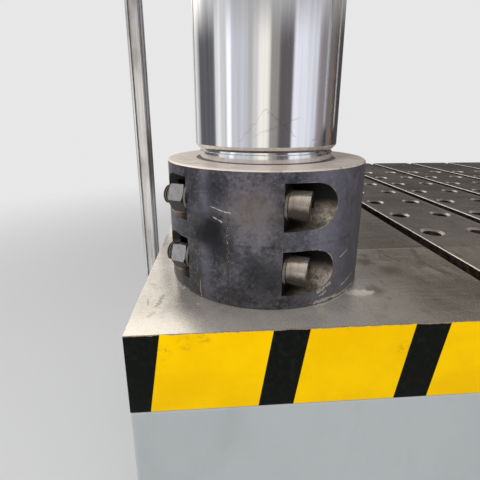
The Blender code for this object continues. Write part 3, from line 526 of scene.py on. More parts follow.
def nut_side_finish(name, marked):
    """Blackened steel: blue grey with brown and violet mottling, darker towards the bottom; marked adds
    stains, chips and scratches, a painted sheen and painted light towards +x.
    """
    f = Finish(name, (0.05, 0.055, 0.07), 0.5, 0.75)
    x, y, z = f.axes()
    clouds = f.noise(9.0, 6.0, 0.62, distortion=0.6)
    patches = f.noise(17.0, 5.0, 0.6, f.moved(location=(3.1, 1.7, 0.4)), 0.8)
    grain = f.noise(170.0, 4.0, 0.6)
    tone = f.mix(f.step(clouds, 0.34, 0.66), (0.062, 0.062, 0.072), (0.170, 0.166, 0.190))
    tone = f.tint(tone, patches, 0.50, 0.70, 0.7, (0.165, 0.142, 0.125))
    violet = f.noise(7.0, 4.0, 0.5, f.moved(location=(7.7, 0.3, 2.2)))
    tone = f.tint(tone, violet, 0.52, 0.70, 0.5, (0.150, 0.130, 0.175))
    # Darker towards the bottom.
    low = f.fall(z, 0.02, 0.16)
    tone = f.mix(f.times(low, 0.5), tone, (0.070, 0.070, 0.066))
    mottle = f.noise(62.0, 7.0, 0.78)
    strength = 1.0 if marked else 0.6
    tone = f.mix(f.step(mottle, 0.38, 0.54, 0.62 * strength, 0.0), tone, (0.026, 0.026, 0.030))
    tone = f.tint(tone, mottle, 0.54, 0.68, 0.40 * strength, (0.250, 0.250, 0.300))
    tone = f.tint(tone, grain, 0.50, 0.68, 0.34, (0.30, 0.295, 0.31))
    rough = f.level(f.step(mottle, 0.3, 0.7), 0.34, 0.54)
    if marked:
        tone, chips = nut_marks(f, tone, x, y, z)
        tone = f.mix(chips, tone, (0.66, 0.60, 0.54))
        rough = f.level(chips, rough, 0.45)
    f.set(Base_Color=tone, Roughness=rough)
    height = f.plus(f.times(grain, 0.4), clouds)
    f.bump(height, 0.0008, 0.25)
    return f.material


def nut_marks(f, tone, x, y, z):
    """The photographed nut's stains, painted sheen and painted light, and a mask of its scratches, chips and
    bare edges.
    """
    angle = f.math("ARCTAN2", x, f.times(y, -1.0))
    u = f.times(angle, NUT_RADIUS)
    # Painted sheen: a light violet vertical band down the left of the side.
    painted_sheen = f.step(f.size(f.plus(u, 0.046)), 0.0, 0.020, 0.45, 0.0)
    tone = f.mix(painted_sheen, tone, (0.215, 0.210, 0.265))
    brown = f.near((0.045, -0.205, 0.180), 0.065, 0.9, ragged=0.5)
    tone = f.mix(f.times(brown, 0.6), tone, (0.185, 0.150, 0.132))
    # Painted light: the side grows lighter and more violet towards +x round the side.
    tone = f.tint(tone, u, 0.10, 0.21, 0.42, (0.27, 0.265, 0.325))
    for spot, radius, share in (
            ((-0.036, -0.207, 0.138), 0.062, 1.0), ((-0.010, -0.209, 0.100), 0.040, 0.6),
            ((0.066, -0.199, 0.060), 0.050, 0.7), ((-0.025, -0.208, 0.215), 0.040, 0.6),
            ((0.040, -0.206, 0.085), 0.036, 0.6), ((0.020, -0.208, 0.030), 0.050, 0.5)):
        dark = f.near(spot, radius, 0.85, ragged=0.6)
        tone = f.mix(f.times(dark, share), tone, (0.013, 0.013, 0.016))
    ring = f.step(f.size(f.minus(z, 0.118)), 0.0, 0.005, 0.45, 0.0)
    ring = f.times(ring, f.step(f.noise(14.0, 3.0), 0.40, 0.60))
    tone = f.mix(ring, tone, (0.014, 0.014, 0.016))
    scar = f.step(f.size(u), 0.0004, 0.0022, 0.55, 0.0)
    scar = f.times(scar, f.fall(z, 0.150, 0.175))
    tone = f.mix(scar, tone, (0.075, 0.050, 0.032))
    upper = f.times(f.fall(z, 0.150, 0.156), f.step(z, 0.070, 0.095))
    seam = f.times(f.fall(f.size(u), 0.001, 0.0045), upper)
    chips = f.times(seam, f.step(f.noise(300.0, 6.0, 0.75), 0.56, 0.62, 0.0, 0.8))
    for start, end, width, share in (
            ((-0.033, 0.183), (-0.014, 0.179), 0.0017, 0.7), ((-0.018, 0.180), (0.005, 0.175), 0.0022, 0.8),
            ((-0.028, 0.165), (-0.011, 0.158), 0.0020, 0.8),
            ((-0.0625, 0.036), (-0.0615, 0.002), 0.0020, 0.6),
            ((0.218, 0.082), (0.242, 0.090), 0.0030, 1.0), ((0.226, 0.020), (0.276, 0.030), 0.0030, 1.0),
            ((0.167, 0.024), (0.194, 0.036), 0.0060, 0.8), ((0.172, 0.016), (0.184, 0.022), 0.0050, 0.8),
            ((0.160, 0.004), (0.212, 0.006), 0.0060, 0.8), ((0.204, 0.003), (0.292, 0.003), 0.0040, 1.0),
            ((0.250, 0.205), (0.262, 0.235), 0.0020, 0.7), ((-0.120, 0.001), (-0.096, 0.001), 0.0030, 1.0)):
        chips = f.most(chips, f.times(f.stroke(u, z, start, end, width), share))
    inner = f.times(pocket_edge(f, y, z), f.step(x, POCKET_WALL + 0.02, POCKET_WALL + 0.05))
    chips = f.most(chips, inner)
    worn = f.step(f.noise(60.0, 4.0), 0.40, 0.55)
    return tone, f.most(chips, f.times(f.step(z, NUT_HEIGHT - 0.0035, NUT_HEIGHT - 0.0015), worn))


def pocket_edge(f, y, z):
    """One close to the edges of the screw pockets, broken up into chips."""
    out = f.least(f.minus(f.size(y), SCREW_DEPTH), 0.0)
    edges = []
    for height in SCREW_HEIGHTS.values():
        rise = f.minus(z, height)
        away = f.reach(out, rise)
        edges.append(f.size(f.minus(away, POCKET_RADIUS)))
    distance = f.least(*edges)
    ragged = f.plus(distance, f.times(f.minus(f.noise(170.0, 4.0), 0.5), 0.006))
    low = f.step(z, 0.0, SCREW_HEIGHTS["upper"] + 0.01, 1.0, 0.6)
    broken = f.times(f.step(f.noise(45.0, 3.0), 0.50, 0.58), low)
    return f.times(f.fall(ragged, 0.0004, 0.0012), broken)


def pocket_finish():
    """The milled pockets: painted shade, black, on the faces that look down and by the screw seats; bare and
    brownish on the faces that look up.
    """
    f = Finish("pocket_inside", (0.42, 0.35, 0.28), 0.4, 0.7)
    up = f.upward()
    milled = f.noise(240.0, 4.0, 0.6)
    stains = f.noise(38.0, 5.0, 0.6)
    bare = f.mix(f.step(stains, 0.40, 0.66), (0.50, 0.43, 0.36), (0.26, 0.20, 0.15))
    speckled = f.noise(110.0, 6.0, 0.75)
    bare = f.mix(f.step(speckled, 0.40, 0.52, 0.75, 0.0), bare, (0.13, 0.10, 0.075))
    bare = f.tint(bare, speckled, 0.56, 0.66, 0.7, (0.86, 0.76, 0.62))
    bare = f.tint(bare, milled, 0.45, 0.70, 0.25, (0.66, 0.60, 0.54))
    # Painted shade: darker close to the screw seat wall.
    seat = f.step(f.size(f.axes()[0]), SCREW_SEAT + 0.004, SCREW_SEAT + 0.034, 0.85, 0.0)
    bare = f.mix(seat, bare, (0.030, 0.024, 0.020))
    # Painted shade: the faces that look down turn black, with a ragged edge.
    wander = f.times(f.minus(stains, 0.5), 0.5)
    shade = f.step(f.plus(up, wander), -0.25, 0.60)
    f.set(Base_Color=f.mix(shade, (0.012, 0.011, 0.011), bare), Roughness=f.level(shade, 0.6, 0.38))
    f.bump(milled, 0.0004, 0.3)
    return f.material


def thread_finish():
    """Dark screw threads with brownish crests."""
    f = Finish("thread_steel", (0.10, 0.10, 0.10), 0.4, 0.8)
    crest = f.step(f.reach(*f.axes()[1:]), SCREW_RADIUS - THREAD_DEPTH * 0.6, SCREW_RADIUS - 0.0001)
    f.set(Base_Color=f.mix(crest, (0.018, 0.015, 0.012), (0.40, 0.35, 0.29)))
    return f.material


def turned_finish(name, colour, roughness, metallic=0.85):
    """Bare turned steel: rings round the axis, with a light cast and small stains."""
    f = Finish(name, colour, roughness, metallic)
    x, y, z = f.axes()
    radius = f.reach(x, y)
    rings = f.noise(900.0, 3.0, 0.6, f.vector(radius, z, 0.0))
    stains = f.noise(22.0, 5.0, 0.6)
    brown = tuple(level * share for level, share in zip(colour, (0.62, 0.52, 0.45)))
    bright = tuple(min(1.0, level * 1.25) for level in colour)
    tone = f.mix(f.step(rings, 0.35, 0.65), colour, bright)
    tone = f.tint(tone, stains, 0.55, 0.72, 0.7, brown)
    f.set(Base_Color=tone, Roughness=f.level(f.step(stains, 0.4, 0.7), roughness, roughness + 0.12))
    f.bump(rings, 0.0003, 0.3)
    return f.material


def bare_steel_finish(name, colour, roughness, streak=(1, 1, 1), stain=0.5, oil_and_shade=0.0, turn_dark=(-0.1, 0.9)):
    """Bare machined steel with a brushed direction, brown stains and painted shade on the faces that look
    down.
    """
    f = Finish(name, colour, roughness, 0.9)
    brushed = f.noise(320.0, 4.0, 0.6, f.moved(streak))
    stains = f.noise(30.0, 5.0, 0.6)
    dark = tuple(level * 0.80 for level in colour)
    brown = tuple(level * share for level, share in zip(colour, (0.62, 0.50, 0.38)))
    tone = f.mix(f.step(brushed, 0.34, 0.66), dark, colour)
    tone = f.tint(tone, stains, 0.50, 0.68, stain, brown)
    # Painted shade: the faces that look down darken, more so on undersides.
    if oil_and_shade:
        up = f.plus(f.upward(), f.times(f.minus(f.noise(70.0, 4.0), 0.5), 0.6))
        tone = f.mix(f.step(up, *turn_dark, oil_and_shade, 0.0), tone, (0.035, 0.028, 0.023))
    f.set(Base_Color=tone, Roughness=f.level(f.step(stains, 0.4, 0.7), roughness, roughness + 0.12))
    f.bump(brushed, 0.0002, 0.25)
    return f.material


def table_top_finish():
    """Ground table top: brownish grey steel with stains, scuffs and worn, bright edges, a painted highlight
    along the step at the seam and painted sheen towards the front edge.
    """
    f = Finish("table_top", (0.36, 0.33, 0.30), 0.3, 0.72)
    place = f.moved(location=FROM_COLUMN)
    x, y = f.axes(place)[:2]
    grinding = f.noise(120.0, 4.0, 0.6, f.moved((0.06, 1, 1)))
    clouds = f.noise(5.5, 6.0, 0.62, distortion=0.5)
    stains = f.noise(15.0, 6.0, 0.65, f.moved((1.5, 0.8, 1), (4.2, 1.1, 0)), 0.7)
    fine = f.noise(120.0, 4.0, 0.65)
    right = f.step(x, 0.05, 0.34)
    tone = f.mix(f.step(clouds, 0.35, 0.65), (0.50, 0.465, 0.425), (0.66, 0.615, 0.56))
    browner = f.mix(f.step(clouds, 0.35, 0.65), (0.210, 0.172, 0.132), (0.375, 0.320, 0.262))
    tone = f.mix(right, tone, browner)
    behind = f.times(f.step(y, 0.0455, 0.0475), f.step(x, 0.225, 0.235))
    tone = f.mix(f.times(behind, f.step(x, 0.441, 0.443, 0.75, 0.55)), tone, (0.150, 0.122, 0.096))
    along = f.times(f.step(x, 0.225, 0.235), f.fall(x, 0.440, 0.443))
    # Painted highlight: a thin bright line along the step at the seam.
    ledge_highlight = f.times(f.step(f.size(f.minus(y, 0.0445)), 0.0, 0.003, 0.6, 0.0), along)
    tone = f.mix(ledge_highlight, tone, (0.62, 0.55, 0.46))
    # Oily stains, more on the right; no painted shade here.
    oil_and_shade = f.times(f.step(stains, 0.53, 0.66), f.level(right, 0.22, 0.80))
    tone = f.mix(oil_and_shade, tone, (0.165, 0.135, 0.105))
    tone = f.tint(tone, fine, 0.52, 0.70, 0.18, (0.24, 0.20, 0.17))
    tone = f.tint(tone, grinding, 0.50, 0.72, 0.22, (0.70, 0.66, 0.61))
    for point, radius, share in (((0.240, -0.029, 0), 0.034, 0.75), ((0.278, -0.073, 0), 0.040, 0.65),
                                 ((0.203, -0.155, 0), 0.030, 0.6), ((0.255, 0.005, 0), 0.020, 0.6)):
        spot = f.near(point, radius, 0.9, place, 0.8)
        tone = f.mix(f.times(spot, share), tone, (0.10, 0.078, 0.058))
    scuffs = 0.0
    for start, end, width in (((-0.212, -0.148), (-0.219, -0.184), 0.007),
                              ((-0.221, -0.205), (-0.226, -0.214), 0.010),
                              ((-0.240, -0.160), (-0.235, -0.180), 0.003)):
        scuffs = f.most(scuffs, f.stroke(x, y, start, end, width, 0.7))
    tone = f.mix(f.times(scuffs, 0.55), tone, (0.16, 0.120, 0.085))
    worn = f.near((0.345, -0.135, 0), 0.085, 0.9, f.moved((0.9, 1.6, 1), place=place), 0.9)
    combed = f.step(f.noise(55.0, 4.0, 0.6, f.moved((1.0, 0.22, 1), turn=(0, 0, 0.62))), 0.46, 0.58)
    tone = f.mix(f.times(f.times(worn, combed), 0.35), tone, (0.62, 0.60, 0.55))
    for point in ((-0.176, -0.122, 0), (-0.144, -0.181, 0)):
        tone = f.mix(f.near(point, 0.0035, 0.4, place), tone, (0.95, 0.92, 0.86))
    line = f.plus(y, f.times(f.noise(70.0, 4.0), 0.006))
    edge = f.times(f.fall(line, -0.2612, -0.2580), f.step(f.noise(28.0, 4.0), 0.47, 0.58))
    # Painted sheen: lighter towards the front edge, strongest on the left.
    front = f.step(y, -0.262, -0.165, 0.75, 0.0)
    tone = f.mix(f.times(front, f.step(x, 0.02, 0.30, 1.0, 0.35)), tone, (0.86, 0.80, 0.72))
    edge = f.most(edge, f.near((0.101, -0.260, 0), 0.022, 0.5, f.moved((0.6, 1.6, 1), place=place), 1.0))
    tone = f.mix(edge, tone, (0.86, 0.80, 0.70))
    f.set(Base_Color=tone)
    rough = f.level(f.step(clouds, 0.3, 0.7), 0.20, 0.29)
    rough = f.plus(rough, f.times(oil_and_shade, 0.10))
    f.set(Roughness=f.plus(rough, f.step(fine, 0.4, 0.7, 0.0, 0.06)))
    height = f.plus(f.times(grinding, 0.4), f.times(fine, 0.5))
    f.bump(f.plus(height, f.times(clouds, 1.6)), 0.0006, 0.30)
    return f.material


def stripe_finish():
    """Hazard stripes on the table's front face, leaning, with smudges and chipped edges."""
    f = Finish("hazard_stripes", (0.956, 0.578, 0.0), 0.45)
    f.shader.inputs["Specular IOR Level"].default_value = 0.02
    place = f.moved(location=FROM_COLUMN)
    x, _, z = f.axes(place)
    slanted = f.minus(x, f.times(z, 0.155))
    phase = f.math("FLOORED_MODULO", f.plus(slanted, 0.018), 0.240)
    corner = f.times(f.step(slanted, -0.2005, -0.1999), f.fall(slanted, -0.1940, -0.1934))
    black = f.times(f.step(phase, 0.0, 0.0006), f.fall(phase, 0.0610, 0.0616))
    black = f.times(black, f.minus(1.0, corner))
    clouds = f.noise(8.0, 5.0, 0.6)
    fine = f.noise(90.0, 4.0, 0.65)
    yellow = f.mix(f.step(clouds, 0.35, 0.65), (0.90, 0.525, 0.0005), (0.98, 0.595, 0.0005))
    yellow = f.tint(yellow, fine, 0.60, 0.75, 0.15, (0.62, 0.36, 0.006))
    smudge = 0.0
    for point, radius in (((-0.132, -0.264, -0.010), 0.016), ((-0.200, -0.264, -0.034), 0.020),
                          ((-0.160, -0.264, -0.018), 0.020), ((0.110, -0.264, -0.006), 0.010),
                          ((0.205, -0.264, -0.048), 0.018)):
        smudge = f.most(smudge, f.near(point, radius, 0.9, place, 0.9))
    smudge = f.times(smudge, f.step(f.noise(75.0, 5.0, 0.7), 0.45, 0.66))
    yellow = f.mix(f.times(smudge, 0.6), yellow, (0.30, 0.16, 0.01))
    ink = f.mix(f.step(fine, 0.45, 0.75), (0.0065, 0.0075, 0.0065), (0.013, 0.014, 0.012))
    tone = f.mix(black, yellow, ink)
    line = f.plus(z, f.times(f.noise(55.0, 5.0, 0.7), 0.008))
    chipped = f.step(line, 0.0018, 0.0030)
    tone = f.mix(chipped, tone, (0.30, 0.22, 0.16))
    f.set(Base_Color=tone, Roughness=f.level(f.step(clouds, 0.3, 0.7), 0.42, 0.54))
    f.bump(f.plus(fine, f.times(chipped, -0.6)), 0.0004, 0.2)
    return f.material


def slot_finish():
    """The dark brown inside of slots and holes."""
    f = Finish("slot_inside", (0.05, 0.038, 0.028), 0.5, 0.5)
    grime = f.noise(60.0, 5.0, 0.65)
    f.set(Base_Color=f.mix(f.step(grime, 0.4, 0.65), (0.022, 0.016, 0.012), (0.085, 0.062, 0.045)))
    f.set(Roughness=f.level(grime, 0.38, 0.62))
    f.bump(grime, 0.0006, 0.3)
    return f.material


def paint_finish(name, colour, roughness=0.42, wear=0.25, coat=0.2, ground_below=None):
    """Machine paint: orange peel, dust, oily streaks and small chips; bare steel below a level."""
    f = Finish(name, colour, roughness, 0.0, coat)
    clouds = f.noise(2.6, 5.0, 0.6)
    peel = f.noise(210.0, 2.0, 0.5)
    dust = f.noise(11.0, 6.0, 0.65, f.moved((1, 1, 0.35)))
    deep = tuple(level * 0.92 for level in colour)
    dusty = tuple(level * 0.62 + 0.035 for level in colour)
    chips = f.times(f.step(f.noise(34.0, 4.0, 0.6), 0.715, 0.73), wear)
    tone = f.mix(f.step(clouds, 0.35, 0.65), deep, colour)
    tone = f.tint(tone, dust, 0.50, 0.74, wear, dusty)
    streaks = f.noise(13.0, 5.0, 0.65, f.moved((1, 1, 0.07)))
    patches = f.noise(1.7, 3.0, 0.5, f.moved(location=(5.1, 2.3, 0.7)))
    # Oily streaks on the paint; no painted shade here.
    oil_and_shade = f.times(f.step(streaks, 0.53, 0.72, 0.0, 1.2 * wear), f.step(patches, 0.42, 0.62))
    tone = f.mix(oil_and_shade, tone, tuple(level * 0.45 for level in colour))
    tone = f.mix(chips, tone, (0.16, 0.15, 0.14))
    rough = f.level(f.step(dust, 0.4, 0.7), roughness, roughness + 0.14)
    if ground_below is not None:
        bare = f.fall(f.axes()[2], ground_below - 0.0002, ground_below)
        steel = f.mix(f.step(dust, 0.4, 0.7), (0.50, 0.47, 0.43), (0.36, 0.31, 0.26))
        tone = f.mix(bare, tone, steel)
        rough = f.level(bare, rough, 0.30)
        f.set(Metallic=f.times(bare, 0.85))
    f.set(Base_Color=tone, Roughness=rough)
    f.bump(peel, 0.0004, 0.25)
    return f.material


def aluminium_finish():
    """Anodised aluminium profile with fine lines along it."""
    f = Finish("rail_aluminium", (0.80, 0.81, 0.82), 0.32, 0.85)
    lines = f.noise(420.0, 3.0, 0.5, f.moved((1, 1, 0.01)))
    dust = f.noise(13.0, 5.0, 0.6, f.moved((1, 1, 0.3)))
    tone = f.mix(f.step(lines, 0.35, 0.65), (0.58, 0.57, 0.57), (0.76, 0.75, 0.75))
    tone = f.tint(tone, dust, 0.48, 0.70, 0.65, (0.34, 0.30, 0.265))
    f.set(Base_Color=tone, Roughness=f.level(f.step(dust, 0.4, 0.7), 0.28, 0.45))
    f.bump(lines, 0.0002, 0.2)
    return f.material


CHROME = chrome_finish()
NUT_SIDE = nut_side_finish("nut_side", True)
NUT_PLAIN = nut_side_finish("nut_side_plain", False)
NUT_TOP = turned_finish("nut_top", (0.69, 0.605, 0.53), 0.36, 0.45)
# A darker copy of the nut top's turned steel: painted shade in the bore's mouth, where the gap round the
# neck falls dark.
BORE_MOUTH_SHADED = turned_finish("bore_mouth_shaded", (0.34, 0.29, 0.245), 0.4, 0.6)
POCKET = pocket_finish()
# Screw heads, washers and hex nuts get painted shade on the faces that look down.
HEAD = bare_steel_finish("screw_head", (0.80, 0.70, 0.61), 0.20, (1, 0.15, 0.15), 0.6, 0.97, (-0.20, 0.95))
WASHER = bare_steel_finish("washer_steel", (0.34, 0.315, 0.29), 0.34, oil_and_shade=0.5)
HEX = bare_steel_finish("hex_nut_steel", (0.52, 0.51, 0.505), 0.34, (1, 1, 1), 0.1, 0.92, (-0.20, 0.60))
THREAD = thread_finish()
TABLE_GROUND = table_top_finish()
STRIPES = stripe_finish()
SLOT_INSIDE = slot_finish()
CHAMFER = bare_steel_finish("worn_chamfer", (0.80, 0.77, 0.73), 0.28, (1, 1, 1), 0.35)
GREY_PAINT = paint_finish("press_grey_paint", (0.42, 0.45, 0.46))
SLIDE_PAINT = paint_finish("slide_paint", (0.42, 0.45, 0.46), ground_below=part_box("slide")[0].z + 0.0008)
DARK_PAINT = paint_finish("dark_grey_paint", (0.060, 0.065, 0.070), 0.45)
BLUE_PAINT = paint_finish("motor_blue_paint", (0.060, 0.135, 0.270), 0.38)
YELLOW_PAINT = paint_finish("ladder_yellow_paint", (0.80, 0.47, 0.01), 0.40)
CAST_IRON = paint_finish("machined_casting", (0.14, 0.14, 0.14), 0.55, 0.2, 0.0)
BRONZE = turned_finish("bush_bronze", (0.55, 0.34, 0.14), 0.34)
BRIGHT = turned_finish("bright_turned_steel", (0.60, 0.57, 0.54), 0.30)
BOLT = bare_steel_finish("zinc_bolt", (0.55, 0.54, 0.50), 0.32, (1, 1, 1), 0.25)
BLACK_PLASTIC = paint_finish("black_plastic", (0.022, 0.022, 0.024), 0.40, 0.1, 0.0)
ALUMINIUM = aluminium_finish()


# Columns

def column_profile(low, high):
    """A column's outline: threaded necks, a relief groove and the ground shaft."""
    crown_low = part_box("crown")[0].z
    neck_top = TABLE_TOP + NUT_HEIGHT + NECK_ABOVE_NUT
    neck_bottom = crown_low - NUT_HEIGHT - NECK_ABOVE_NUT
    relief = NECK_RADIUS - RELIEF_DEPTH
    shaft_low, shaft_high = neck_top + NECK_CHAMFER, neck_bottom - NECK_CHAMFER
    edge, end = 0.0012, 0.004
    return [
        (0, low), (NECK_RADIUS - end, low), (NECK_RADIUS, low + end),
        (NECK_RADIUS, neck_top - RELIEF_WIDTH - 0.001), (relief, neck_top - RELIEF_WIDTH),
        (relief, neck_top - 0.0005), (NECK_RADIUS, neck_top),
        (COLUMN_RADIUS - edge, shaft_low - edge), (COLUMN_RADIUS, shaft_low + edge),
        (COLUMN_RADIUS, shaft_high - edge), (COLUMN_RADIUS - edge, shaft_high + edge),
        (NECK_RADIUS, neck_bottom), (NECK_RADIUS, high - end), (NECK_RADIUS - end, high), (0, high)]


def make_columns():
    """The four ground and chromed columns."""
    for name in CORNER_TURNS:
        low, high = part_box("column_" + name)
        mesh = lathe("column_shaft_" + name, column_profile(low.z, high.z))
        mesh.transform(Matrix.Translation(column_axis(name)))
        piece("column_shaft_" + name, mesh, CHROME, replaces=("column_" + name,), angle=20)


# Split clamp nuts

def pocket_outline(side, height):
    """A pocket's section: half round inside, straight and open outwards."""
    points = []
    steps = 28
    for step in range(steps + 1):
        angle = math.pi * (step / steps - 0.5)
        points.append((side * (SCREW_DEPTH - POCKET_RADIUS * math.cos(angle)),
                       height + POCKET_RADIUS * math.sin(angle)))
    outside = side * (NUT_RADIUS + POCKET_RADIUS)
    return points + [(outside, height + POCKET_RADIUS), (outside, height - POCKET_RADIUS)]


def nut_half(side):
    """One half of a split nut, with pockets and screw holes, in the nut's own frame."""
    profile = [(NUT_BORE, GAP), (NUT_RADIUS - 0.001, GAP), (NUT_RADIUS, GAP + 0.001),
               (NUT_RADIUS, NUT_HEIGHT - NUT_CHAMFER), (NUT_RADIUS - NUT_CHAMFER, NUT_HEIGHT),
               (NUT_BORE + BORE_MOUTH, NUT_HEIGHT), (NUT_BORE, NUT_HEIGHT - BORE_MOUTH)]
    half = new_object("nut_half", lathe("nut_half", profile, 2 * ROUND, True))
    reach = NUT_RADIUS + POCKET_RADIUS
    near, far = sorted((side * SEAM_WIDTH / 2, -side * reach))
    carve(half, boxes("away", [((near, -reach, -reach), (far, reach, NUT_HEIGHT + reach))]))
    outlines = [pocket_outline(end, height) for end in (-1, 1) for height in SCREW_HEIGHTS.values()]
    walls = sorted((side * POCKET_WALL, side * reach))
    carve(half, prism("pockets", outlines, *walls))
    spots = [(0, end * SCREW_DEPTH, height) for end in (-1, 1) for height in SCREW_HEIGHTS.values()]
    carve(half, lathe("holes", [(0, -reach), (SCREW_HOLE, -reach), (SCREW_HOLE, reach), (0, reach)],
                      32, False, spots, "X"))
    return half


def nut_face(face):
    """0 for the blackened side, 1 for the turned top, 2 for cut faces, 3 for the bore's mouth."""
    centre = face.center
    if face.normal.z > 0.4 and centre.z > NUT_HEIGHT - BORE_MOUTH - 0.001:
        return 1 if centre.z > NUT_HEIGHT - 0.002 else 3
    reach = math.hypot(centre.x, centre.y)
    outward = (centre.x * face.normal.x + centre.y * face.normal.y) / reach
    return 0 if outward > 0.9 and reach > NUT_RADIUS * 0.985 else 2


def screw_mesh():
    """A socket head screw along X, its head at +X and its thread end at -X."""
    head_end = SCREW_SEAT + HEAD_HEIGHT
    root = SCREW_RADIUS - THREAD_DEPTH
    profile = [(0, -SCREW_END), (root - 0.001, -SCREW_END)]
    turns = int((SCREW_END - SCREW_SEAT) / THREAD_PITCH)
    for turn in range(turns):
        start = -SCREW_END + 0.001 + turn * THREAD_PITCH
        profile += [(root, start), (SCREW_RADIUS, start + THREAD_PITCH * 0.42),
                    (SCREW_RADIUS, start + THREAD_PITCH * 0.58), (root, start + THREAD_PITCH * 0.98)]
    profile += [(SCREW_RADIUS, -SCREW_SEAT + 0.004), (SCREW_RADIUS, SCREW_SEAT),
                (HEAD_RADIUS - 0.0008, SCREW_SEAT), (HEAD_RADIUS, SCREW_SEAT + 0.0008),
                (HEAD_RADIUS, head_end - 0.0022), (HEAD_RADIUS - 0.0007, head_end - 0.0007),
                (HEAD_RADIUS - 0.0024, head_end), (0, head_end)]
    screw = new_object("screw", lathe("screw", profile, 48, axis="X"))
    corner = KEY_WIDTH / 2 / math.cos(math.pi / 6)
    key = [(0, head_end - KEY_DEPTH - 0.004), (corner, head_end - KEY_DEPTH), (corner, head_end + KEY_DEPTH),
           (0, head_end + KEY_DEPTH)]
    carve(screw, lathe("key", key, 6, axis="X"))
    return screw


def screw_face(face):
    """0 for the head and shank, 1 for the threads."""
    return 1 if face.center.x < 0 else 0


def hex_mesh():
    """A chamfered hexagon nut along X, seated at the -X side."""
    corner = HEX_WIDTH / 2 / math.cos(math.pi / 6)
    near, far = -SCREW_SEAT, -SCREW_SEAT - HEX_HEIGHT
    blank = [(0, far), (corner, far), (corner, near), (0, near)]
    nut = new_object("hex", lathe("hex", blank, 6, axis="X"))
    drop, narrow, wide = 0.0028, HEX_WIDTH / 2 - 0.0006, corner + 0.0008
    bore = SCREW_RADIUS + 0.0004
    ring = [(bore + 0.002, far), (narrow, far), (wide, far + drop), (wide, near - drop), (narrow, near),
            (bore, near), (bore, far + 0.002)]
    carve(nut, lathe("barrel", ring, 72, True, axis="X"), "INTERSECT")
    return nut


def washer_mesh(end):
    """A washer along X on the head side or the nut side."""
    near, far = sorted((end * (POCKET_WALL + GAP), end * (POCKET_WALL + GAP + WASHER_THICKNESS)))
    profile = [(SCREW_HOLE, near), *rim(WASHER_RADIUS, near, far, 0.0005), (SCREW_HOLE, far)]
    return new_object("washer", lathe("washer", profile, 64, True, axis="X"))


def make_clamp_nuts():
    """The split nuts on the table with their screws, washers and hex nuts."""
    halves = {"right": nut_half(1), "left": nut_half(-1)}
    for half in halves.values():
        dress(half, NUT_SIDE, NUT_TOP, POCKET, BORE_MOUTH_SHADED, pick=nut_face)
        smooth(half.data, 25)
    plain = {}
    for side, half in halves.items():
        plain[side] = half.data.copy()
        plain[side].materials[0] = NUT_PLAIN
    screw = screw_mesh()
    dress(screw, HEAD, THREAD, pick=screw_face)
    hexagon = hex_mesh()
    dress(hexagon, HEX)
    washers = {"head_washer": washer_mesh(1), "nut_washer": washer_mesh(-1)}
    for washer in washers.values():
        dress(washer, WASHER)
    for part in (screw, hexagon, *washers.values()):
        smooth(part.data, 25)
    turned = {}
    for corner_name, turn in CORNER_TURNS.items():
        split = corner_name == "front_left"
        axis = column_axis(corner_name)
        axis.z = TABLE_TOP
        matrix = Matrix.Translation(axis) @ Matrix.Rotation(turn, 4, "Z")
        for side, half in halves.items():
            mesh = half.data if split else plain[side]
            placed = new_object(f"clamp_half_{side}_{corner_name}", mesh, matrix)
            stands_for = ("clamp_nut_half_" + side,) if split else ()
            if not split and side == "right":
                stands_for = ("table_nut_" + corner_name,)
            settle_in(placed, "root", stands_for)
        for end, row in ((-1, "front"), (1, "rear")):
            for level, height in SCREW_HEIGHTS.items():
                label = f"{row}_{level}"
                spin = 0.0 if end < 0 else math.pi
                spot = (matrix @ Matrix.Translation((0, end * SCREW_DEPTH, height))
                        @ Matrix.Rotation(spin, 4, "Z"))
                parts = [("socket_screw", screw, "clamp_screw_", "bright_steel"),
                         ("hexagon_nut", hexagon, "clamp_hex_nut_", "hex_steel")]
                parts += [(kind, washer, kind + "_", "bright_steel") for kind, washer in washers.items()]
                for kind, source, node, slot in parts:
                    if (kind, label) not in turned:
                        turned[kind, label] = source.data.copy()
                        angle = (HEX_TURNS if kind == "hexagon_nut" else SCREW_TURNS)[label]
                        turned[kind, label].transform(Matrix.Rotation(math.radians(angle), 4, "X"))
                    placed = new_object(f"{kind}_{label}_{corner_name}_piece", turned[kind, label], spot)
                    settle_in(placed, "root", (node + label,) if split else ())
    for source in (*halves.values(), screw, hexagon, *washers.values()):
        bpy.data.objects.remove(source)


# Table plate

def slot_section(x, face):
    """A T-slot's section at x, cut down into the level face."""
    neck, head = SLOT_NECK_WIDTH / 2, SLOT_HEAD_WIDTH / 2
    neck_end = face - SLOT_NECK_DEPTH
    half = [(neck + SLOT_CHAMFER + 0.05, face + 0.05), (neck, face - SLOT_CHAMFER), (neck, neck_end),
            (head, neck_end), (head, neck_end - SLOT_HEAD_HEIGHT)]
    return [(x + a, b) for a, b in half] + [(x - a, b) for a, b in reversed(half)]


def table_face(face):
    """0 top, 1 front face, 2 other sides, 3 insides, 4 chamfers."""
    normal, centre = face.normal, face.center
    if normal.z > 0.98 and centre.z > TABLE_TOP - 0.0005:
        return 0
    if centre.y < TABLE_LOW.y + 0.001 and normal.y < -0.7:
        return 1
    if abs(normal.z) < 0.9 and (centre.y > TABLE_HIGH.y - 0.001 or abs(centre.x) > TABLE_HIGH.x - 0.001):
        return 2
    return 4 if centre.z > TABLE_TOP - PIN_CHAMFER and normal.z > 0.2 else 3


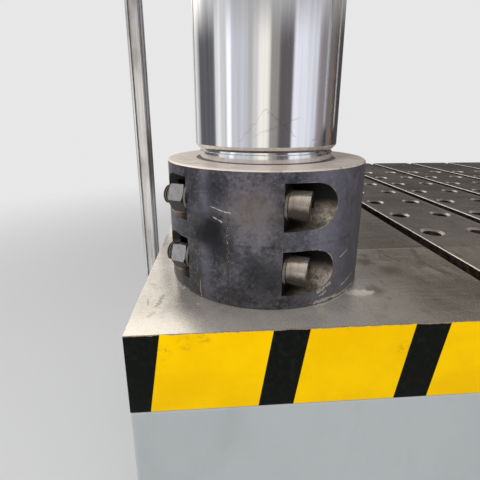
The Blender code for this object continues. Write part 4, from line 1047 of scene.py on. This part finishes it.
def make_table():
    """The ground table plate with its T-slots and chamfered cushion pin holes."""
    plate = new_object("table_plate_ground", boxes("table", [(TABLE_LOW, TABLE_HIGH)], 0.0012))
    sections = [slot_section(x, TABLE_TOP) for x in spread(SLOT_COUNT, SLOT_PITCH)]
    carve(plate, prism("slots", sections, TABLE_LOW.y - 0.1, TABLE_HIGH.y + 0.1, "Y"))
    low, top = TABLE_LOW.z - 0.05, TABLE_TOP
    spots = [(x, y, 0) for x in spread(PIN_COLUMNS, SLOT_PITCH / 2) for y in spread(PIN_ROWS, PIN_PITCH_Y)]
    mouth = PIN_HOLE_RADIUS + PIN_CHAMFER
    hole = [(0, low), (PIN_HOLE_RADIUS, low), (PIN_HOLE_RADIUS, top - PIN_CHAMFER * 0.7), (mouth, top),
            (mouth, top + 0.02), (0, top + 0.02)]
    carve(plate, lathe("pins", hole, 32, False, spots))
    axes = [column_axis(name) for name in CORNER_TURNS]
    bore = [(0, low), (COLUMN_HOLE, low), (COLUMN_HOLE, top + 0.02), (0, top + 0.02)]
    carve(plate, lathe("bores", bore, 64, False, axes))
    dress(plate, TABLE_GROUND, STRIPES, GREY_PAINT, SLOT_INSIDE, CHAMFER, pick=table_face)
    smooth(plate.data, 30)
    settle_in(plate, "root", ("table_plate",))


# Fasteners, and copies of a mesh in one piece

def joined(name, meshes):
    """The meshes as one."""
    bm = bmesh.new()
    for mesh in meshes:
        bm.from_mesh(mesh)
    whole = bpy.data.meshes.new(name)
    bm.to_mesh(whole)
    bm.free()
    return whole


def scatter(name, mesh, matrices):
    """One mesh with a copy of the given one at each matrix."""
    copies = [mesh.copy() for _ in matrices]
    for copy, matrix in zip(copies, matrices):
        copy.transform(matrix)
    return joined(name, copies)


def bolt_mesh(size):
    """A hexagon bolt head on its washer, along +Z from zero; size is the thread's diameter."""
    seat, shoulder, top = 0.15 * size, 0.66 * size, 0.80 * size
    corner, outer = 0.96 * size, 1.08 * size
    head = lathe("head", [(0, seat), (corner, seat), (corner, shoulder), (corner * 0.84, top), (0, top)], 6)
    washer = lathe("washer", [(0, 0), (outer, 0), (outer, 0.12 * size), (1.02 * size, 0.16 * size),
                              (0, 0.16 * size)], 24)
    return joined("bolt", (head, washer))


def bolts(name, spots, direction, size, body="root"):
    """Bolt heads at the spots, standing up along the direction, each turned a little further."""
    turn = Vector((0, 0, 1)).rotation_difference(Vector(direction)).to_matrix().to_4x4()
    matrices = []
    for index, spot in enumerate(spots):
        spin = Matrix.Rotation(math.radians(BOLT_SPIN * index), 4, "Z")
        matrices.append(Matrix.Translation(Vector(spot)) @ turn @ spin)
    piece(name, scatter(name, bolt_mesh(size), matrices), BOLT, body)


def ring_spots(centre, radius, count, axis="Z", first=0.0):
    """Points evenly round a circle about an axis through the centre."""
    spots = []
    for index in range(count):
        angle = first + 2 * math.pi * index / count
        a, b = radius * math.cos(angle), radius * math.sin(angle)
        offset = {"Z": (a, b, 0), "X": (0, a, b), "Y": (a, 0, b)}[axis]
        spots.append(Vector(centre) + Vector(offset))
    return spots


def finish_node(name, material, edge):
    """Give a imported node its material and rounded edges."""
    thing = bpy.data.objects[name]
    dress(thing, material)
    weld = thing.modifiers.new("weld", "WELD")
    weld.merge_threshold = WELD_WITHIN
    bevel = thing.modifiers.new("edges", "BEVEL")
    bevel.width = edge
    bevel.segments = 2
    bevel.limit_method = "ANGLE"
    bevel.angle_limit = EDGE_ANGLE


# Round nuts and guide bushes

def round_nut_profile(bore, radius, height):
    """A round nut's closed outline with chamfers and a shallow groove round its middle."""
    edge, groove = 0.004, 0.0015
    half = height / 2
    return [
        (bore, 0.002), (bore + 0.004, 0), (radius - edge, 0), (radius, edge), (radius, half - 0.004),
        (radius - groove, half - 0.003), (radius - groove, half + 0.003), (radius, half + 0.004),
        (radius, height - edge), (radius - edge, height), (bore + 0.004, height), (bore, height - 0.004)]


def round_nut_face(face):
    """0 for the side, 1 for the ends, 2 for holes and bore."""
    centre, normal = face.center, face.normal
    reach = math.hypot(centre.x, centre.y)
    at_end = min(centre.z, NUT_HEIGHT - centre.z) < 0.006
    if abs(normal.z) > 0.5 and at_end and reach > NUT_BORE + 0.001:
        return 1
    outward = (centre.x * normal.x + centre.y * normal.y) / reach
    return 0 if outward > 0.6 and reach > NUT_RADIUS - 0.006 else 2


def make_round_nuts():
    """The plain round nuts under the bed and on both sides of the crown."""
    low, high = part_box("bed_nut_front_left")
    rise = high.z - low.z
    profile = round_nut_profile(NUT_BORE, NUT_RADIUS, rise)
    nut = new_object("round_nut", lathe("round_nut", profile, ROUND, True))
    inner = Matrix.Translation((NUT_RADIUS - SPANNER_HOLE_DEPTH, 0, rise / 2))
    holes = [turn @ inner @ Matrix.Rotation(math.pi / 2, 4, "Y") for turn in EIGHTHS]
    radius, length = SPANNER_HOLE_RADIUS, 2 * SPANNER_HOLE_DEPTH
    pin = lathe("pin", [(0, 0), (radius, 0), (radius, length), (0, length)], 24)
    carve(nut, scatter("pins", pin, holes))
    dress(nut, NUT_PLAIN, NUT_TOP, SLOT_INSIDE, pick=round_nut_face)
    smooth(nut.data, 25)
    for row in ("bed_nut", "crown_lower_nut", "crown_top_nut"):
        for corner, angle in CORNER_TURNS.items():
            node = f"{row}_{corner}"
            place = Matrix.Translation(foot(node)) @ Matrix.Rotation(angle, 4, "Z")
            settle_in(new_object(node + "_turned", nut.data, place), "root", (node,))
    bpy.data.objects.remove(nut)


def make_bushes():
    """The slide's bronze guide bushes with their bolted flanges."""
    bore, wall, flange = BUSH_BORE, BUSH_WALL, BUSH_FLANGE
    for corner in CORNER_TURNS:
        node = "guide_bush_" + corner
        low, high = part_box(node)
        rise = high.z - low.z
        under = rise - BUSH_FLANGE_HEIGHT
        profile = [
            (bore, 0.004), (bore + 0.004, 0), (wall, 0), (wall, under), (flange - 0.002, under),
            (flange, under + 0.002), (flange, rise - 0.003), (flange - 0.003, rise), (bore + 0.018, rise),
            (bore + 0.014, rise - 0.006), (bore + 0.006, rise - 0.006), (bore, rise - 0.012)]
        mesh = lathe(node, profile, ROUND, True)
        mesh.transform(Matrix.Translation(foot(node)))
        piece("guide_bush_turned_" + corner, mesh, BRONZE, "slide", (node,), 25)
        spots = ring_spots((*foot(node).xy, high.z), (wall + flange) / 2, 8, first=HALF_EIGHTH)
        bolts("bush_bolts_" + corner, spots, UP, 0.012, "slide")


# Main cylinder, ram and cushion

def turned_piece(name, node, profile, material, body="root", closed=False):
    """A turned piece on a node's own upright axis, replacing the node; heights are the world's."""
    mesh = lathe(name, profile, ROUND, closed)
    mesh.transform(Matrix.Translation((*foot(node).xy, 0)))
    piece(name, mesh, material, body, (node,), 25)


def make_cylinder():
    """The main cylinder with the shoulder that hangs in the crown."""
    wide, shoulder, bore = CYLINDER_RADIUS, SHOULDER_RADIUS, CYLINDER_BORE
    low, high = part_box("main_cylinder")
    inner = high.z - CYLINDER_HEAD
    turned_piece("main_cylinder_turned", "main_cylinder", [
        (bore, low.z), (wide, low.z), (wide, SHOULDER_LOW), (shoulder - 0.004, SHOULDER_LOW),
        (shoulder, SHOULDER_LOW + 0.004), (shoulder, SHOULDER_HIGH), (wide, SHOULDER_HIGH),
        (wide, high.z - 0.012), (wide - 0.012, high.z), (0.10, high.z), (0.10, inner), (bore, inner)],
        GREY_PAINT, closed=True)


def make_ram():
    """The ram with its piston and the bolted flange on the slide."""
    rod, flange, piston = RAM_RADIUS, RAM_FLANGE_RADIUS, PISTON_RADIUS
    low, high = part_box("main_ram")
    seat, piston_low = low.z + RAM_FLANGE_HEIGHT, high.z - PISTON_LENGTH
    turned_piece("main_ram_ground", "main_ram", [
        (0, low.z), *rim(flange, low.z, seat, 0.004), (rod + 0.012, seat), (rod, seat + 0.012),
        (rod, piston_low), (piston, piston_low), (piston, high.z), (0, high.z)], CHROME, "slide")
    bolts("ram_flange_bolts", ring_spots((0, 0, seat), 0.345, 16), UP, 0.030, "slide")


def make_gland():
    """The bolted gland under the cylinder."""
    wide, bore = CYLINDER_RADIUS, GLAND_BORE
    low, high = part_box("cylinder_gland")
    turned_piece("gland_turned", "cylinder_gland", [
        (bore, low.z + 0.006), (bore + 0.006, low.z), (wide - 0.004, low.z), (wide, low.z + 0.004),
        (wide, high.z), (bore, high.z)], BRIGHT, closed=True)
    bolts("gland_bolts", ring_spots((0, 0, low.z), 0.415, 20), DOWN, 0.024)


def make_lock_nut():
    """The slotted nut that holds the cylinder in the crown."""
    low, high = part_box("cylinder_lock_nut")
    radius, bore, edge = high.x, LOCK_NUT_BORE, 0.005
    profile = [(bore, low.z), *rim(radius, low.z, high.z, edge), (bore + 0.0055, high.z),
               (bore, high.z - edge)]
    nut = new_object("lock_nut", lathe("lock_nut", profile, 2 * ROUND, True))
    notch = boxes("notch", [((radius - NOTCH_DEPTH, -NOTCH_WIDTH / 2, low.z - 0.01),
                             (radius + NOTCH_DEPTH, NOTCH_WIDTH / 2, high.z + 0.01))])
    carve(nut, scatter("notches", notch, EIGHTHS))
    dress(nut, NUT_PLAIN)
    smooth(nut.data, 25)
    settle_in(nut, "root", ("cylinder_lock_nut",))


def make_cushion_rod():
    """The die cushion's rod."""
    low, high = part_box("cushion_rod")
    radius, edge = CUSHION_ROD_RADIUS, 0.004
    turned_piece("cushion_rod_ground", "cushion_rod", [
        (0, low.z), (radius - edge, low.z), (radius, low.z + edge), (radius, high.z), (0, high.z)],
        CHROME, "cushion")


# Filling valve, suction pipe and pressure pipe

def make_filling_valve():
    """The filling valve on the cylinder's head and its pipe to the tank."""
    low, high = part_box("filling_valve")
    flange, body, cap, pipe, collar = VALVE_FLANGE, VALVE_BODY, VALVE_CAP, SUCTION_RADIUS, SUCTION_FLANGE
    seat, edge = low.z + VALVE_FLANGE_HEIGHT, 0.004
    profile = [
        (0, low.z), *rim(flange, low.z, seat, edge), (body + 0.012, seat), (body, seat + 0.012),
        (body, high.z - 0.032), (cap, high.z - 0.030), (cap, high.z - edge), (cap - edge, high.z),
        (0, high.z)]
    piece("filling_valve_body", lathe("valve", profile, 96), CAST_IRON, replaces=("filling_valve",))
    profile = [
        (0, 0.10), (pipe, 0.10), (pipe, high.y - 0.030), (collar, high.y - 0.028), (collar, high.y - 0.002),
        (collar - 0.002, high.y), (0, high.y)]
    mesh = lathe("suction", profile, 64, axis="Y", places=((0, 0, SUCTION_HEIGHT),))
    piece("suction_pipe", mesh, GREY_PAINT)
    bolts("valve_flange_bolts", ring_spots((0, 0, seat), 0.211, 12), UP, 0.020)
    bolts("valve_cap_bolts", ring_spots((0, 0, high.z), 0.160, 8), UP, 0.014)
    spots = ring_spots((0, high.y - 0.028, SUCTION_HEIGHT), 0.134, 8, "Y", HALF_EIGHTH)
    bolts("suction_flange_bolts", spots, (0, -1, 0), 0.014)


def pipe_points(corners, bend):
    """A run through the corners with arcs of the bend's radius."""
    points = [corners[0]]
    steps = 8
    for before, corner, after in zip(corners, corners[1:], corners[2:]):
        into, out = (corner - before).normalized(), (after - corner).normalized()
        centre = corner + (out - into) * bend
        for step in range(steps + 1):
            angle = math.pi / 2 * step / steps
            points.append(centre + (into * math.sin(angle) - out * math.cos(angle)) * bend)
    return points + [corners[-1]]


def make_pressure_pipe():
    """The pressure pipe from the valve block to the cylinder's head."""
    start, end = PIPE_START, PIPE_END
    corners = [start, Vector((start.x, 0, PIPE_TOP)), Vector((end.x, 0, PIPE_TOP)), end]
    points = pipe_points(corners, PIPE_BEND)
    data = bpy.data.curves.new("pressure_run", "CURVE")
    data.dimensions = "3D"
    data.bevel_depth = PIPE_RADIUS
    data.bevel_resolution = 6
    data.use_fill_caps = True
    line = data.splines.new("POLY")
    line.points.add(len(points) - 1)
    for target, point in zip(line.points, points):
        target.co = (*point, 1)
    run = new_object("pressure_pipe_bent", data)
    mesh = bpy.data.meshes.new_from_object(run.evaluated_get(bpy.context.evaluated_depsgraph_get()))
    bpy.data.objects.remove(run)
    collar = lathe("collar", [(0, 0), *rim(0.060, 0, 0.032, 0.002), (0.040, 0.032), (0.031, 0.046),
                              (0, 0.046)], 48)
    collars = scatter("collars", collar, [Matrix.Translation(start), Matrix.Translation(end)])
    piece("pressure_pipe_bent", joined("pressure_pipe", (mesh, collars)), BRIGHT,
          replaces=("pressure_pipe",))


# Pumps, tank and valve block

def make_pump(name, side):
    """One motor with fins, fan cover and terminal box, its bell housing and its pump."""
    node = "pump_motor_" + name
    low_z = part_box(node)[0].z
    axis = Vector((0, PUMP_AXIS_Y, PUMP_AXIS_Z))

    def along(profile):
        """A turned part along X from (radius, distance) points on this side."""
        points = [(radius, side * reach) for radius, reach in profile]
        return lathe("turned", points if side > 0 else points[::-1], 64, axis="X", places=(axis,))

    def block(near, far, *spans):
        """Corners of boxes from near to far along the side, each with its y and z span."""
        near, far = sorted((side * near, side * far))
        return [((near, y[0], z[0]), (far, y[1], z[1])) for y, z in spans]

    shell = along([(0, 0.082), (0.118, 0.082), (0.136, 0.092), (0.142, 0.110), (0.142, 0.150),
                   (0.128, 0.152), (0.128, 0.500), (0.146, 0.502), (0.146, 0.520), (0, 0.520)])
    bell = along([(0, 0.5205), (0.155, 0.5205), (0.155, 0.535), (0.115, 0.545), (0.115, 0.628),
                  (0.135, 0.630), (0.135, 0.640), (0, 0.640)])
    pump = along([(0, 0.6405), (0.110, 0.6405), (0.110, 0.660), (0.085, 0.664), (0.085, 0.830),
                  (0.074, 0.862), (0.050, 0.878), (0, 0.880)])
    fins = []
    for angle in range(0, 360, FIN_STEP):
        if not (60 < angle < 120 or 240 < angle < 300):
            fins.append(Matrix.Translation(axis) @ Matrix.Rotation(math.radians(angle), 4, "X"))
    fin = boxes("fin", block(0.155, 0.498, ((0.125, 0.152), (-0.0020, 0.0020))), 0.0008)
    foot_top, web_low, web_top = low_z + 0.018, low_z + 0.016, axis.z - 0.095
    stand = boxes("foot", block(0.120, 0.480, ((axis.y - 0.125, axis.y + 0.125), (low_z, foot_top)))
                  + block(0.140, 0.460, ((axis.y - 0.085, axis.y - 0.065), (web_low, web_top)),
                          ((axis.y + 0.065, axis.y + 0.085), (web_low, web_top))), 0.002)
    lid = axis.z + 0.210
    box = boxes("box", block(0.120, 0.300, ((axis.y - 0.075, axis.y + 0.075), (axis.z + 0.100, lid))), 0.004)
    motor = joined("motor", (shell, scatter("fins", fin, fins), stand, box))
    piece("motor_" + name, motor, BLUE_PAINT, replaces=(node,))
    piece("pump_bell_" + name, bell, GREY_PAINT)
    piece("pump_body_" + name, pump, CAST_IRON)
    spots = [(x, axis.y + y, lid) for x in sorted((side * 0.134, side * 0.286)) for y in (-0.061, 0.061)]
    bolts("terminal_box_screws_" + name, spots, UP, 0.006)
    spots = ring_spots((side * 0.6605, axis.y, axis.z), 0.098, 6, "X")
    bolts("pump_bolts_" + name, spots, (side, 0, 0), 0.010)
    spots = [(side * x, axis.y + y, foot_top) for x in (0.140, 0.460) for y in (-0.108, 0.108)]
    bolts("motor_foot_bolts_" + name, spots, UP, 0.014)


def make_tank():
    """The oil tank's finish, its covers' bolts and its level gauge."""
    low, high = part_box("oil_tank")
    finish_node("oil_tank", GREY_PAINT, 0.004)
    for index, x in ((0, -TANK_COVER_X), (2, TANK_COVER_X)):
        spots = ring_spots((x, high.y, TANK_COVER_HEIGHT), 0.185, 12, "Y")
        bolts(f"tank_cover_bolts_{index}", spots, (0, 1, 0), 0.012)
    x, y = low.x, GAUGE_Y
    holder = boxes("gauge", [((x - 0.018, y - 0.020, 5.30), (x - GAP, y + 0.020, 5.62))], 0.004)
    glass = boxes("gauge_glass", [((x - 0.021, y - 0.010, 5.34), (x - 0.0175, y + 0.010, 5.58))], 0.001)
    piece("level_gauge_frame", holder, BLACK_PLASTIC)
    piece("level_gauge_glass", glass, YELLOW_PAINT)


def make_manifold():
    """The valve block's finish, its screws and the caps of its valves' coils."""
    finish_node("valve_manifold", BRIGHT, 0.0025)
    spots = [(x, y, MANIFOLD_TOP) for x in (-0.900, -0.630) for y in (-0.290, 0.290)]
    bolts("manifold_bolts", spots, UP, 0.016)
    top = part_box("valve_manifold")[1].z
    coils = []
    for y in spread(4, VALVE_PITCH):
        coils.append(((-0.868, y - 0.028, top - 0.052), (-0.812, y + 0.028, top - 0.0005)))
    piece("valve_coils", boxes("coils", coils, 0.003), BLACK_PLASTIC)


# Painted boxes

def make_painted_blocks():
    """Bed, slide, crown, cushion and ladder with rounded edges, and the crown's lifting lugs."""
    for name, material, edge in (
            ("bed_frame", GREY_PAINT, 0.004), ("crown", GREY_PAINT, 0.004), ("slide", SLIDE_PAINT, 0.003),
            ("cushion_plate", DARK_PAINT, 0.003), ("cushion_cylinder", GREY_PAINT, 0.002),
            ("ladder", YELLOW_PAINT, 0.0015)):
        finish_node(name, material, edge)
    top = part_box("crown")[1].z
    hole, half = 0.028, 0.022
    lug = lathe("lug", [(hole, -half), *rim(0.078, -half, half, 0.003), (hole, half)], 48, True, axis="Y")
    spots = [Matrix.Translation((x, y, top + 0.045)) for x in (-0.86, 0.86) for y in (-0.55, 0.40)]
    piece("crown_lifting_lugs", scatter("lugs", lug, spots), GREY_PAINT)


# Switch rail

def rail_outline():
    """The extruded profile's outline, with its T grooves, round its own centre."""
    half_x, half_y = RAIL_WIDTH / 2, RAIL_DEPTH / 2
    lip, depth, flare, edge = 0.002, 0.010, 0.003, 0.002

    def notch(centre, width):
        """A groove's points on a side that runs along +a, as (a, depth inwards)."""
        near, far = centre - width / 2, centre + width / 2
        return [(near, 0), (near, lip), (near - flare, lip), (near - flare, depth), (far + flare, depth),
                (far + flare, lip), (far, lip), (far, 0)]

    front = [(a, -half_y + b) for a, b in notch(-0.006, 0.013)]
    back = [(-a, half_y - b) for a, b in notch(0.0, 0.010)]
    sides = [point for centre in (-0.020, 0.020) for point in notch(centre, 0.010)]
    right = [(half_x - b, a) for a, b in sides]
    left = [(-half_x + b, -a) for a, b in sides]
    return [(-half_x, -half_y + edge), (-half_x + edge, -half_y), *front,
            (half_x - edge, -half_y), (half_x, -half_y + edge), *right,
            (half_x, half_y - edge), (half_x - edge, half_y), *back,
            (-half_x + edge, half_y), (-half_x, half_y - edge), *left]


def make_rail():
    """The aluminium rail at the left end."""
    low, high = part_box("switch_rail")
    outline = [(x + RAIL_CENTRE[0], y + RAIL_CENTRE[1]) for x, y in rail_outline()]
    piece("rail_profile", prism("rail", [outline], low.z, high.z, "Z"), ALUMINIUM,
          replaces=("switch_rail",))


def make_switches():
    """The rail's brackets and the three stroke switches behind it."""
    x, y = RAIL_CENTRE
    left, back = x - RAIL_WIDTH / 2, y + RAIL_DEPTH / 2
    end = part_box("switch_rail")[0].x
    arms = []
    for height in BRACKET_HEIGHTS:
        low, high = height - BRACKET_HALF, height + BRACKET_HALF
        arms.append(((end, y - 0.030, low), (left - GAP, y + 0.030, high)))
        arms.append(((left + 0.002, back - 0.004, low), (FRAME_END - GAP, back + 0.010, high)))
    piece("rail_brackets", boxes("brackets", arms, 0.0015), BRIGHT)
    back += GAP
    bodies, rollers = [], []
    for height in SWITCH_HEIGHTS:
        bodies.append(((x - 0.018, back, height - 0.035), (x + 0.018, back + 0.050, height + 0.035)))
        rollers.append((x, back + 0.025, height + 0.050))
    piece("switch_bodies", boxes("switches", bodies, 0.004), BLACK_PLASTIC)
    outline = [(0, -0.006), *rim(0.011, -0.006, 0.006, 0.001), (0, 0.006)]
    roller = lathe("roller", outline, 32, False, rollers, "Y")
    piece("switch_rollers", roller, BOLT)


# Studio

FLOOR_RADIUS = 9.0
FLOOR_FADE = 6.5
PALE = 0.80
DIFFUSE_LIGHT = 0.50
# Tints of the light panels
PLAIN, COOL, WARM, MAUVE = (1, 1, 1), (0.965, 0.980, 1.060), (1.030, 1.000, 0.940), (1.060, 0.950, 0.990)
# Soft light panels and the dark gaps between them round the press, as the
# polished columns show them: start angle from +X in degrees, level and tint
PANELS = (
    (0, 0.17, MAUVE), (21, 0.07, MAUVE), (66, 0.12, PLAIN), (92, 0.45, PLAIN), (104, 0.80, PLAIN),
    (130, 0.45, PLAIN), (138, 0.13, COOL), (174, 0.16, PLAIN), (179, 0.98, PLAIN), (190, 0.72, PLAIN),
    (201, 1.30, COOL), (209, 0.73, COOL), (236, 0.62, PLAIN), (243, 0.85, PLAIN), (250, 1.12, WARM),
    (267, 0.37, WARM), (280, 0.14, MAUVE), (301, 1.02, COOL), (320, 0.86, COOL), (342, 0.28, MAUVE))
# The same for what the level faces show, higher up
HIGH_PANELS = (
    (0, 0.42, PLAIN), (66, 0.66, PLAIN), (97, 1.45, WARM), (150, 0.75, PLAIN), (200, 0.55, PLAIN),
    (300, 0.55, PLAIN))
PANEL_EDGE = 2.5
OVERHEAD = (0.65, 0.65, 0.65)
# Where the high panels and the light overhead take over, by the direction's rise
HIGH_RISE, OVERHEAD_RISE = (0.20, 0.34), (0.70, 0.90)
# Name, place, what it points at, width and power
LIGHTS = (
    ("key", (-4.6, -3.8, 5.4), (-0.8, -0.5, 1.6), 2.2, 230),
    ("fill", (4.6, -4.6, 3.6), (0.2, 0.0, 2.0), 3.0, 90))


def make_world():
    """A pale background, soft light all round, and light panels that metal reflects."""
    world = bpy.data.worlds.new("studio")
    bpy.context.scene.world = world
    world.use_nodes = True
    g = Graph(world.node_tree, "Generated")
    x, y, z = g.axes()
    turns = g.math("DIVIDE", g.math("ARCTAN2", y, x), 2 * math.pi)
    degrees = g.times(g.math("FRACT", turns), 360)

    def around(panels, edge):
        """The colour of a ring of panels at the direction's angle."""
        colour = None
        for start, level, tint in panels:
            after = tuple(level * share for share in tint)
            shown = g.step(degrees, start - edge, start + edge)
            colour = after if colour is None else g.mix(shown, colour, after)
        return colour

    panels = g.mix(g.step(z, *HIGH_RISE), around(PANELS, PANEL_EDGE), around(HIGH_PANELS, 2 * PANEL_EDGE))
    panels = g.mix(g.step(z, *OVERHEAD_RISE), panels, OVERHEAD)
    paths = g.node("LightPath", ())
    seen = g.most(paths["Is Camera Ray"], paths["Is Transmission Ray"])
    plain = g.mix(seen, (DIFFUSE_LIGHT,) * 3, (PALE,) * 3)
    background = g.tree.nodes["Background"]
    g.put(background.inputs["Color"], g.mix(paths["Is Glossy Ray"], plain, panels))


def make_floor():
    """A pale round floor that fades into the background at its rim."""
    mesh = lathe("floor", [(0, 0), (FLOOR_RADIUS, 0)], 96)
    floor = new_object("floor", mesh, Matrix.Translation((0, 0, -0.001)))
    f = Finish("floor", (PALE, PALE, PALE), 0.9)
    f.shader.inputs["Specular IOR Level"].default_value = 0.0
    radius = f.reach(*f.axes()[:2])
    f.set(Alpha=f.fall(radius, FLOOR_RADIUS - FLOOR_FADE, FLOOR_RADIUS - 0.1))
    dress(floor, f.material)


def add_light(name, place, target, size, power):
    """A soft area light that lights surfaces but isn't seen itself."""
    light = bpy.data.lights.new(name, "AREA")
    light.shape = "DISK"
    light.size = size
    light.energy = power
    lamp = bpy.data.objects.new(name, light)
    bpy.context.scene.collection.objects.link(lamp)
    lamp.location = place
    lamp.rotation_euler = (Vector(target) - Vector(place)).to_track_quat("-Z", "Y").to_euler()
    lamp.visible_camera = False
    lamp.visible_glossy = False


def make_camera():
    """The camera where the photographer stood."""
    camera = bpy.data.objects.new("camera", bpy.data.cameras.new("camera"))
    bpy.context.scene.collection.objects.link(camera)
    camera.data.lens = CAMERA_LENS
    camera.data.shift_y = CAMERA_SHIFT
    camera.data.clip_start = 0.01
    camera.location = FRONT_LEFT + CAMERA_FROM_COLUMN
    camera.rotation_euler = CAMERA_DIRECTION.to_track_quat("-Z", "Y").to_euler()
    bpy.context.scene.camera = camera


def main():
    """Build the looks, the studio and the camera."""
    bpy.context.scene.view_settings.view_transform = "Standard"
    make_camera()
    make_world()
    make_floor()
    for light in LIGHTS:
        add_light(*light)
    make_columns()
    make_clamp_nuts()
    make_table()
    make_rail()
    make_switches()
    make_round_nuts()
    make_bushes()
    make_cylinder()
    make_ram()
    make_gland()
    make_lock_nut()
    make_cushion_rod()
    make_filling_valve()
    make_pressure_pipe()
    make_pump("left", -1)
    make_pump("right", 1)
    make_tank()
    make_manifold()
    make_painted_blocks()


main()
